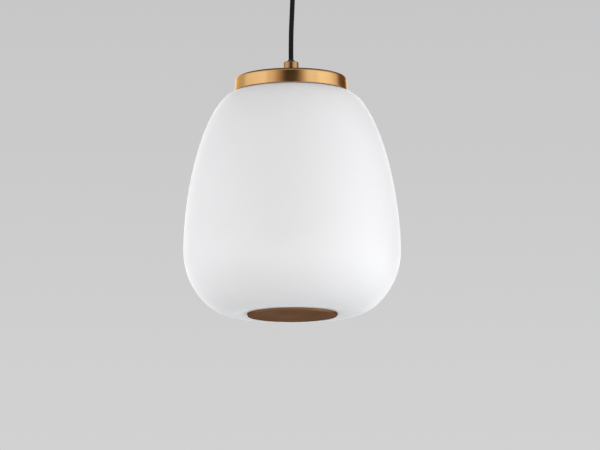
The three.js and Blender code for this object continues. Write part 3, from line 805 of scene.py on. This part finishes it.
def grub_screw(name, node, body, height):
    """A slotted headless screw in the back of a grip."""
    outline = [(0, 3.9), (0.9, 3.9), (GRUB_RADIUS, 4.3), *thread_run(GRUB_RADIUS, 4.4, 9.8, 0.2, 0.5),
               (GRUB_RADIUS, 9.95), (1.1, 10.2), (0, 10.2)]
    screw = lathe(name, outline, 32, pitch=0.5)
    carved(screw, block((-2, -0.35, 9.3), (2, 0.35, 11)))
    placed(screw, (0, 0, height), (-90, "X"))
    take_over(screw, node, body, ZINC)


def make_grips():
    height = (GRIP_HIGH.z - GRIP_LOW.z) / MM
    outline = softened([(5.3, 0, 0.2), *grip_corners(height), (3.4, 11, 0.2), (5.3, 11, 0.2)], 6)
    lower = lathe("cord_grip_lower", outline)
    carved(lower, drill(GRUB_HOLE, 0, 12, (0, 0, height - GRUB_DROP), (-90, "X")))
    placed(lower, (0, 0, GRIP_LOW.z / MM))
    take_over(lower, "lamp_gland_body", "lamp", GRIP_SHADED_BRASS, "satin_brass")
    grub_screw("grip_screw_lower", "lamp_gland_screw", "lamp", GRIP_HIGH.z / MM - GRUB_DROP)

    height = UPPER_GRIP_HEIGHT
    neck = [(x, -y, depth) for x, y, depth in thread_run(5.0, 0.6, 9.7, 0.3, 1.0)]
    outline = softened([*grip_corners(height), (3.4, -10, 0.2)], 6)
    outline += [(4.6, -10), *neck[::-1], (5.0, 0)]
    upper = lathe("cord_grip_upper", outline)
    carved(upper, drill(GRUB_HOLE, 0, 12, (0, 0, height - GRUB_DROP), (90, "X")))
    placed(upper, (0, 0, CANOPY_GRIP_LOW.z / MM + height), (180, "X"))
    take_over(upper, "canopy_gland_body", "ceiling", GRIP_SHADED_BRASS, "satin_brass")
    grub_screw("grip_screw_upper", "canopy_gland_screw", "ceiling", CANOPY_GRIP_LOW.z / MM + GRUB_DROP)


make_cap()
make_disc()
make_grips()


# ---------- frame inside the shade ----------

def lamp_z(height):
    """World height in mm of a height above the disc's underside."""
    return DISC_FACE / MM + height


def add_nut(name, node, body, flats, bore, pitch, thread, material, x=0):
    base, height = base_and_height(node)
    take_over(hex_nut(name, flats, bore, height, x, base, pitch, thread), node, body, material)


def make_bars():
    for name, node, half_width, middle_hole in (("fitter_plate", "fitter_bar", 13, 5.3),
                                                ("bridge_plate", "yoke_bridge", 9, 4.3)):
        low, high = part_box(node)
        bottom, top = low.z / MM, high.z / MM
        bar = prism(name, rounded_rectangle(54, half_width, 5, 8), bottom, top)
        holes = [drill(2.8, bottom - 1, top + 1, (side * ROD_X, 0, 0)) for side in (-1, 1)]
        carved(bar, *holes, drill(middle_hole, bottom - 1, top + 1))
        eased(bar, 0.25)
        take_over(bar, node, "lamp", ZINC)


def make_rods():
    thin, thick, pitch = 2.4, 3.4, 0.8
    foot, head = 17.5, 330
    low, high = 24.3, 325.4 - 2 - 0.3  # the thick part, between the two plates
    outline = [(0, foot), (1.9, foot), *thread_run(thin, foot + 0.3, low - 0.2, 0.3, pitch), (thin, low),
               (3.1, low), (thick, low + 0.3), (thick, high - 0.3), (3.1, high), (thin, high),
               *thread_run(thin, high + 0.2, 329.7, 0.3, pitch), (1.9, head), (0, head)]
    for name, side in (("left", -1), ("right", 1)):
        bar = lathe(f"frame_rod_{name}", outline, 40, pitch=pitch)
        placed(bar, (side * ROD_X, 0, lamp_z(0)))
        take_over(bar, f"yoke_rod_{name}", "lamp", ZINC)
        for level in ("upper", "lower"):
            add_nut(f"frame_nut_{level}_{name}", f"rod_nut_{level}_{name}", "lamp", 8, 2.8, pitch, 0.2,
                    ZINC, side * ROD_X)


def make_stud():
    pitch = 1.25
    outline = [(0, 7.5), (3.2, 7.5), *thread_run(4.0, 7.9, 30.6, 0.5, pitch), (3.2, 31), (0, 31)]
    stud = lathe("frame_stud", outline, 48, DISC_FACE, pitch=pitch)
    take_over(stud, "yoke_stud", "lamp", ZINC)
    for node in ("stud_nut_upper", "stud_nut_lower"):
        add_nut(f"frame_{node}", node, "lamp", 13, 4.3, pitch, 0.3, ZINC)


def make_nipple():
    base, length = base_and_height("hollow_nipple")
    outline = [(3.4, 0.3), (3.7, 0), (4.6, 0), *thread_run(5.0, 0.4, length - 0.4, 0.35, 1.0),
               (4.6, length), (3.7, length), (3.4, length - 0.3)]
    nipple = lathe("thread_tube", outline, 64, base)
    take_over(nipple, "hollow_nipple", "lamp", TURNED_BRASS)

    base, thick = base_and_height("nipple_washer")
    corners = [(5.3, 0, 0.1), (11, 0, 0.3), (11, thick, 0.3), (5.3, thick, 0.1)]
    turned_part("thread_tube_washer", "nipple_washer", "lamp", ZINC, corners, 4, 64, base)

    add_nut("thread_tube_nut", "nipple_locknut", "lamp", 14, 5.3, 1.0, 0.3, TURNED_BRASS)
    add_nut("canopy_grip_nut", "canopy_gland_nut", "ceiling", 14, 5.3, 1.0, 0.3, ZINC)


def make_seals():
    for name, node, body, inner, outer in (("neck_seal", "neck_gasket", "lamp", 70.5, 73.3),
                                           ("disc_seal", "bottom_gasket", "disc", 47, 60)):
        base, thick = base_and_height(node)
        corners = [(inner, 0, 0.6), (outer, 0, 0.6), (outer, thick, 0.6), (inner, thick, 0.6)]
        if body == "disc":  # two soft ribs with a groove between them press on the glass
            corners[3:] = [(56, thick, 0.3), (55, thick - 0.5, 0.3), (51, thick - 0.5, 0.3),
                           (50, thick, 0.3), (inner, thick, 0.5)]
        turned_part(name, node, body, SILICONE, corners, 4, 128, base)


def make_boss():
    pitch = 1.25
    thread = thread_run(4.3, 5.0, 13.7, -0.3, pitch)
    outline = softened([(0, 1.5, 0), (8, 1.5, 0.2), (8, 14, 0)])
    outline += [(4.6, 14), *thread[::-1], (4.3, 4.4), (3.9, 4.0), (0, 4.0)]
    boss = lathe("disc_hub", outline, 64, DISC_FACE, pitch=pitch)
    take_over(boss, "disc_boss", "disc", TURNED_BRASS)


# ---------- lampholder ----------

def make_lampholder():
    corners = [(5.3, 323.1, 0.2), (5.3, 314.0, 0.1), (7.0, 313.8, 0.8), (18.0, 303.0, 6.5),
               (18.0, 298.0, 0.1), (19.5, 298.0, 0.3), (19.5, 303.0, 2.0), (17.2, 311.5, 4.5),
               (8.5, 316.5, 1.8), (8.5, 323.1, 0.7)]
    turned_part("holder_dome", "lampholder_cover", "lamp", TURNED_BRASS, corners, 8, slot="satin_brass")

    corners = [(0, 297.7, 0), (19.5, 297.7, 0.5), (19.5, 288.7, 0.6), (18.3, 287.4, 0.4),
               (18.3, 266.2, 0.2), (18.6, 265.8, 0.3), (18.6, 263.6, 0.3), (17.3, 262.0, 0.6),
               (14.7, 262.0, 0.3), (14.7, 294.5, 0.4), (0, 294.5, 0)]
    turned_part("holder_body", "lampholder_body", "lamp", CERAMIC, corners, 6)

    outside = thread_run(14.35, 264, 292, 0.42, LAMP_PITCH)
    inside = [(radius - 0.33, height, depth) for radius, height, depth in outside][::-1]
    shell = lathe("holder_shell", outside + inside, 72, DISC_FACE, LAMP_PITCH, sharp_degrees=60)
    take_over(shell, "lampholder_shell", "lamp", TURNED_BRASS)

    base, thick = base_and_height("lampholder_contact")
    corners = [(0, 0, 0), (1.6, 0, 0.5), (2.2, 0.5, 0.5), (3.2, 0.5, 0.3), (3.2, thick, 0.2), (0, thick, 0)]
    turned_part("holder_contact", "lampholder_contact", "lamp", TURNED_BRASS, corners, 4, 48, base)


# ---------- lamp ----------

def make_lamp_cap():
    low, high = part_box("bulb_base_shell")
    wide = high.x / MM
    length = (high.z - low.z) / MM
    outside = [(wide - 0.9, 0), (wide - 0.7, 0.6), *thread_run(wide, 0.8, length - 1.2, 0.75, LAMP_PITCH),
               (wide - 1.2, length - 0.6), (wide - 1.7, length)]
    inside = [(11.0, length - 0.3), (10.6, length - 1.2), (10.6, 0.0)]
    shell = lathe("lamp_cap_shell", outside + inside, base=low.z, pitch=LAMP_PITCH, sharp_degrees=50)
    take_over(shell, "bulb_base_shell", "bulb", ZINC)

    base, height = base_and_height("bulb_base_insulator")
    corners = [(0, 0, 0), (11.1, 0, 0.3), (9.6, 0.9, 0.8), (5.0, height, 0.4), (0, height, 0)]
    turned_part("lamp_cap_insulator", "bulb_base_insulator", "bulb", BLACK_BEAD, corners, 6, 72, base)

    base, thick = base_and_height("bulb_contact")
    corners = [(0, 0, 0), (4.2, 0, 0.1), (4.2, thick * 0.5, 0.15), (2.6, thick, 0.5), (0, thick, 0)]
    turned_part("lamp_cap_contact", "bulb_contact", "bulb", TURNED_BRASS, corners, 4, 48, base)


def make_bulb():
    seam, waist, top = 222.3, 258.5, 264.7
    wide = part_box("bulb_housing")[1].x / MM
    profile = bezier((wide, seam + 0.5), (wide - 0.6, seam + 14), (17.0, seam + 22), (14.4, waist), 28)
    collar = bezier((14.4, waist), (13.9, 261.5), (13.5, 263.5), (13.1, top), 8)
    outline = [(0, seam), (wide - 0.5, seam), *profile, *collar[1:], (0, top)]
    housing = lathe("lamp_housing", outline, 128, DISC_FACE)
    take_over(housing, "bulb_housing", "bulb", WHITE_PLASTIC)

    middle, radius, wall = 211.5, 30, 1.5
    seam_turn = degrees(asin((222 - middle) / radius))
    outer = arc(0, middle, radius, -90, seam_turn, 40)
    inner = arc(0, middle, radius - wall, seam_turn, -90, 40)
    outline = [(0, outer[0][1]), *outer[1:], *inner[:-1], (0, inner[-1][1])]
    dome = lathe("lamp_dome", outline, 128, DISC_FACE, sharp_degrees=60)
    take_over(dome, "bulb_dome", "bulb", DIFFUSER, "white_plastic")


# ---------- wires ----------

SLEEVES = {"live": BROWN_SLEEVE, "neutral": BLUE_SLEEVE, "earth": GREEN_SLEEVE}
LAMP_ROUTE = [(1.75, 330), (1.75, 318), (3.2, 311.5), (8, 304.5), (9.5, 298.3)]  # (radius, height)
CANOPY_ROUTES = {
    "live": [(1.5, 0.9, -24), (1.6, 0.8, -17), (4, -5, -14.5), (9.5, -13, -11), (14, -15.5, -9.2),
             (14, -12, -9), (14, -7, -9)],
    "neutral": [(0, -1.75, -24), (0.1, -2, -17), (3.5, -10.5, -17), (13, -20, -13.5), (22.5, -20.5, -9.6),
                (24, -14, -9), (24, -7, -9)],
    "earth": [(-1.5, 0.9, -24), (-1.7, 0.9, -17), (-5, -2.5, -13), (-11, -7, -8.5), (-17, -8, -5),
              (-22, -5.4, -3.8)],
}


def add_wire(name, route, node, body, sleeve):
    take_over(round_bar(name, along(route), WIRE_RADIUS * MM), node, body, sleeve)


def make_wires():
    for core, (name, sleeve) in enumerate(SLEEVES.items()):
        turn = core * TAU / 3 + pi / 6
        route = [(radius * cos(turn), radius * sin(turn), lamp_z(height))
                 for radius, height in LAMP_ROUTE]
        add_wire(f"lamp_core_{name}", route, f"lamp_{name}_wire", "lamp", sleeve)
    for name, route in CANOPY_ROUTES.items():
        add_wire(f"canopy_core_{name}", route, f"canopy_{name}_wire", "ceiling", SLEEVES[name])


# ---------- canopy and its fixings ----------

SIDE_SCREW_Z = -11  # of the canopy's two side screws
POLES = (14, 24)  # how far to the right the terminal block's two ways are
BLOCK_X = 19
EARTH_X = -22


def make_canopy():
    depth = -CANOPY_LOW.z / MM
    wide = CANOPY_HIGH.x / MM
    corners = [(CORD_HOLE, -depth, 0.2), (wide, -depth, 6), (wide, -0.3, 0.0), (wide - 0.25, 0, 0.0),
               (wide - 1.0, 0, 0.1), (wide - SHEET, -0.3, 0.1), (wide - SHEET, SHEET - depth, 4.8),
               (CORD_HOLE, SHEET - depth, 0.2)]
    shell = lathe("canopy_cup", softened(corners, 12), 192)
    carved(shell, drill(SCREW_HOLE, -70, 70, (0, 0, SIDE_SCREW_Z), (90, "Y")))
    take_over(shell, "canopy_shell", "ceiling", CANOPY_BRASS, "satin_brass")


def make_strap():
    half, leg, thick = 57, 16, 2
    outline = [(-half, 0), (half, 0), (half, -leg), (half - thick, -leg), (half - thick, -thick),
               (-half + thick, -thick), (-half + thick, -leg), (-half, -leg)]
    bends = {0: 3.0, 1: 3.0, 4: 1.0, 5: 1.0}
    corners = [(x, z, bends.get(index, 0)) for index, (x, z) in enumerate(outline)]
    strap = prism("ceiling_strap", softened(corners, 6), -10, 10)
    placed(strap, turn=(90, "X"))
    cutters = [drill(SCREW_HOLE, -4, 2, (x, 0, 0)) for x in (EARTH_X, BLOCK_X)]
    cutters.append(drill(SCREW_HOLE, -60, 60, (0, 0, SIDE_SCREW_Z), (90, "Y")))
    for x in (-45, 45):
        slot = arc(x + 2.75, 0, 2.25, -90, 90, 12) + arc(x - 2.75, 0, 2.25, 90, 270, 12)
        cutters.append(prism("slot", slot, -4, 2))
    carved(strap, *cutters)
    eased(strap, 0.12, 2)
    take_over(strap, "mounting_strap", "ceiling", ZINC)


def make_canopy_screws():
    for name, node, length, x, z, turn, material in (
        ("canopy_fixing_left", "canopy_screw_left", 6.8, -60.3, SIDE_SCREW_Z, (-90, "Y"), TURNED_BRASS),
        ("canopy_fixing_right", "canopy_screw_right", 6.8, 60.3, SIDE_SCREW_Z, (90, "Y"), TURNED_BRASS),
        ("block_fixing", "terminal_block_screw", 13.6, BLOCK_X, -14.6, (180, "X"), ZINC),
        ("earth_fixing", "earth_screw", 2.4, EARTH_X, -3.2, (180, "X"), ZINC),
    ):
        take_over(placed(pan_screw(name, length), (x, 0, z), turn), node, "ceiling", material)


def make_terminal_block():
    way_z, clamp_y = -9, -5.0
    body = prism("block_body", rounded_rectangle(10.0, 8.5, 0.8, 6, BLOCK_X), -14.3, -2.3)
    cutters = [drill(SCREW_HOLE, -20, 2, (BLOCK_X, 0, 0))]
    cutters += [drill(2.2, -12, 12, (x, 0, way_z), (90, "X")) for x in POLES]
    cutters.append(block((13.8, 0.0, -16), (24.2, 9.5, -13.1)))
    cutters += [block((18.4, y, -16), (19.6, y + 4, 0)) for y in (-11, 7)]
    cutters += [drill(1.75, -16, way_z, (x, clamp_y, 0)) for x in POLES]
    carved(body, *cutters)
    eased(body, 0.15, 2)
    take_over(body, "terminal_block", "ceiling", WHITE_PLASTIC)

    tube = softened([(1.2, -6.5, 0.1), (1.9, -6.5, 0.15), (1.9, 6.5, 0.15), (1.2, 6.5, 0.1)])
    clamp_outline = [(0, -2.6), (1.0, -2.6), (1.3, -2.3), (1.3, -0.2), (0, -0.2)]
    for x, pole in zip(POLES, ("live", "neutral")):
        insert = lathe(f"terminal_tube_{pole}", tube, 48)
        placed(insert, (x, 0, way_z), (90, "X"))
        clamp = lathe(f"terminal_clamp_{pole}", clamp_outline, 32)
        carved(clamp, block((-2, -0.25, -3), (2, 0.25, -2.0)))
        placed(clamp, (x, clamp_y, -10.7))
        whole = merged(f"terminal_{pole}_metal", [insert, clamp])
        take_over(whole, f"terminal_{pole}", "ceiling", TURNED_BRASS)


def make_earth_washer():
    base, thick = base_and_height("earth_washer")
    steps = 64  # four for each tooth
    outline = []
    for step in range(steps):
        turn = TAU * step / steps
        radius = (3.8, 3.8, 3.25, 3.25)[step % 4]
        outline.append((radius * cos(turn), radius * sin(turn)))
    washer = prism("earth_star_washer", outline, 0, thick)
    carved(washer, drill(SCREW_HOLE, -1, 2))
    eased(washer, 0.08, 2)
    placed(washer, (EARTH_X, 0, base / MM))
    take_over(washer, "earth_washer", "ceiling", TURNED_BRASS)


def make_collars():
    """Soft rubber collars that close each grip's mouth round the flex, and lean with it."""
    corners = [(3.5, -1.2, 0.2), (4.4, -1.2, 0.3), (4.75, 0.6, 0.5), (4.7, 1.9, 0.5), (4.2, 3.0, 0.4),
               (3.5, 3.0, 0.1)]
    for name, node, up in (("collar_lower", "lamp_gland_bush", 1),
                           ("collar_upper", "canopy_gland_bush", -1)):
        turned_part(name, node, "cord", RUBBER, [(x, up * y, rounding) for x, y, rounding in corners],
                    6, 72, middle_height(node))


make_bars()
make_rods()
make_stud()
make_nipple()
make_seals()
make_boss()
make_lampholder()
make_lamp_cap()
make_bulb()
make_wires()
make_canopy()
make_strap()
make_canopy_screws()
make_terminal_block()
make_earth_washer()
make_collars()


# ---------- flex ----------

CORD_RADIUS = 3.45 * MM
CORD_TUCK = 2
CORD_BOW = [
    (0, -CORD_TUCK), (0, 4), (0, 14), (0.15, 27), (0.45, 42), (1.1, 57), (1.8, 72), (2.45, 87), (2.95, 100),
    (3.0, 112), (2.6, 125), (1.55, 138), (0.45, 149), (0.05, 156), (0, 160 + CORD_TUCK),
]
CORD_STEP = 0.35
LOWER_MOUTH = middle_height("lamp_gland_bush")
YARNS = 12  # that wind each way
YARN_LEAD = 15 * MM
YARN_WIDTH = 0.80 * MM
YARN_HEIGHT = 0.26 * MM
YARN_SIDES = 8


def add_tube(points, faces, rings):
    """Adds a tube through the rings, closed by a face at each end."""
    start = len(points)
    count = len(rings[0])
    skin(points, faces, rings)
    faces.append(tuple(range(start, start + count))[::-1])
    faces.append(tuple(range(len(points) - count, len(points))))


def yarn_rings(frames, direction, yarn):
    """The sections of one yarn, which lifts where it goes over those that wind the other way."""
    rings = []
    for index in range(0, len(frames), 2):
        point, tangent, side_x, side_y = frames[index]
        travel = index * CORD_STEP * MM
        angle = direction * TAU * travel / YARN_LEAD + TAU * yarn / YARNS
        crossing = (travel / YARN_LEAD * 2 * YARNS + yarn * direction) * pi / 2
        lift = 0.5 * YARN_HEIGHT * sin(crossing * 2 + (0 if direction > 0 else pi))
        out = side_x * cos(angle) + side_y * sin(angle)
        around = tangent.cross(out)
        run = (tangent + around * direction * TAU * CORD_RADIUS / YARN_LEAD).normalized()
        across = out.cross(run)
        middle = point + out * (CORD_RADIUS - YARN_HEIGHT + lift * 0.6)
        rings.append([
            (middle + across * YARN_WIDTH / 2 * cos(TAU * side / YARN_SIDES)
             + out * YARN_HEIGHT / 2 * 1.1 * sin(TAU * side / YARN_SIDES))[:]
            for side in range(YARN_SIDES)
        ])
    return rings


def make_cord():
    """A braided sleeve: two families of twelve yarns that wind opposite ways and cross over and under."""
    route = [Vector((x * MM, 0, LOWER_MOUTH + z * MM)) for x, z in CORD_BOW]
    line = resampled(spline(route, 24), CORD_STEP * MM)
    frames = []
    for point, tangent in zip(line, tangents(line)):
        side_x = Vector((0, 1, 0)).cross(tangent).normalized()
        frames.append((point, tangent, side_x, tangent.cross(side_x).normalized()))
    points, faces = [], []
    core = CORD_RADIUS - 2 * YARN_HEIGHT
    add_tube(points, faces, [ring_about(point, side_x, side_y, core, 24)
                             for point, _, side_x, side_y in frames[::4]])
    for direction in (1, -1):
        for yarn in range(YARNS):
            add_tube(points, faces, yarn_rings(frames, direction, yarn))
    piece = piece_from("braided_flex", points, faces, 60)
    take_over(piece, "pendant_cord", "cord", BRAID)


make_cord()


# ---------- studio ----------

def grey(level):
    return (level, level, level)


def make_floor():
    half = 12.0
    points = [(-half, -half, FLOOR_HEIGHT), (half, -half, FLOOR_HEIGHT), (half, half, FLOOR_HEIGHT),
              (-half, half, FLOOR_HEIGHT)]
    floor = piece_from("floor", points, [(0, 1, 2, 3)])
    made = Paint("floor_paint", Roughness=0.8)
    made.clouded(made.noise(made.object_point(), 1.5, 4.0), grey(0.97), grey(0.99))
    floor.data.materials.append(made.material)
    floor.visible_diffuse = False  # the studio's light from below passes it
    floor.visible_glossy = False
    floor.visible_shadow = False


SOFTBOX_DISTANCE = 2.2
SOFTBOX_SIZE = (2.4, 2.2)
SOFTBOX_TINT = (0.97, 1.0, 1.03)
SOFTBOX_AIM = 0.17  # above the disc's underside


def add_softbox(name, azimuth, elevation, watts):
    """A soft light aimed at the shade. Azimuth 0 is in front, 90 on the right."""
    data = bpy.data.lights.new(name, "AREA")
    data.shape = "RECTANGLE"
    data.size, data.size_y = SOFTBOX_SIZE
    data.energy = watts
    data.color = SOFTBOX_TINT
    light = add_object(name, data)
    target = Vector((0, 0, DISC_FACE + SOFTBOX_AIM))
    a, e = radians(azimuth), radians(elevation)
    away = Vector((sin(a) * cos(e), -cos(a) * cos(e), sin(e)))
    light.location = target + away * SOFTBOX_DISTANCE
    light.rotation_mode = "QUATERNION"
    light.rotation_quaternion = away.to_track_quat("Z", "Y")
    light.visible_camera = False


# The studio round the light, as (degrees from the front, positive to the right; colour).
STUDIO_WALLS = [
    (-180, (0.90, 0.90, 0.92)), (-162, (1.32, 1.32, 1.36)), (-146, (0.80, 0.77, 0.76)),
    (-125, (0.62, 0.60, 0.60)), (-100, (0.67, 0.63, 0.66)), (-60, (0.83, 0.83, 0.86)),
    (-40, (0.93, 0.89, 0.87)), (-26, (0.50, 0.38, 0.30)), (-12, (0.020, 0.009, 0.002)),
    (14, (0.020, 0.009, 0.002)), (24, (0.54, 0.40, 0.32)), (35, (1.12, 1.12, 1.15)),
    (64, (1.04, 1.08, 1.13)), (90, (0.80, 0.80, 0.83)), (106, (0.50, 0.40, 0.35)),
    (118, (0.15, 0.09, 0.06)), (150, (0.10, 0.07, 0.06)), (163, (1.30, 1.30, 1.34)),
    (180, (0.90, 0.90, 0.92)),
]
# How much of those walls there is at each height, from straight down (-1) to straight up (1).
STUDIO_BAND = [(-0.22, 0.0), (-0.06, 1.0), (0.45, 1.0), (0.62, 0.0)]
# What is left below and above them.
STUDIO_REST = [(-1, 0.22), (-0.6, 0.63), (-0.2, 1.34), (0.5, 0.57), (1, 0.31)]
# And how much of that there is on the left and on the right, at the front and at the back.
STUDIO_REST_SIDES = (0.86, 1.29)
STUDIO_REST_DEPTH = (1.03, 0.55)
# How bright all of it is.
STUDIO_LEVEL = 1.43
# The plain backdrop that the camera sees gets darker from one height to another.
BACKDROP_HEIGHTS = (0.107, 0.21)
BACKDROP_LEVELS = (0.645, 0.57)


def make_world():
    """Plain grey to the camera; to the light's surfaces, a grey studio that is dark behind the camera."""
    world = bpy.data.worlds.new("studio")
    world.use_nodes = True
    bpy.context.scene.world = world
    world.node_tree.nodes.clear()
    made = Graph(world.node_tree)
    right, back, up = made.split(made.node("ShaderNodeTexCoord").outputs["Generated"])
    backdrop = made.span(up, *BACKDROP_HEIGHTS, *BACKDROP_LEVELS)
    seen = made.node("ShaderNodeBackground", {"Color": (1.0, 1.0, 1.003, 1), "Strength": backdrop})
    azimuth = made.math("ARCTAN2", right, made.math("MULTIPLY", back, -1.0))
    turn = made.span(azimuth, -pi, pi, 0, 1)
    walls = made.ramp(turn, [((place + 180) / 360, color) for place, color in STUDIO_WALLS])
    tilt = made.span(up, -1, 1, 0, 1)
    band, rest = (made.ramp(tilt, [((z + 1) / 2, grey(level)) for z, level in stops])
                  for stops in (STUDIO_BAND, STUDIO_REST))
    share = made.math("MULTIPLY", made.span(right, -1, 1, *STUDIO_REST_SIDES),
                      made.span(back, -1, 1, *STUDIO_REST_DEPTH))
    color = made.mix(band, made.times(rest, share), walls)
    lit = made.node("ShaderNodeBackground", {"Color": color, "Strength": STUDIO_LEVEL})
    camera_ray = made.node("ShaderNodeLightPath").outputs["Is Camera Ray"]
    mix = made.node("ShaderNodeMixShader", {0: camera_ray, 1: lit.outputs[0], 2: seen.outputs[0]})
    made.node("ShaderNodeOutputWorld", {0: mix.outputs[0]})


make_floor()
make_world()
add_softbox("softbox_left", -80, 2, 8.8)
add_softbox("softbox_right", 84, -4, 10.0)
bpy.context.scene.view_settings.view_transform = "Standard"
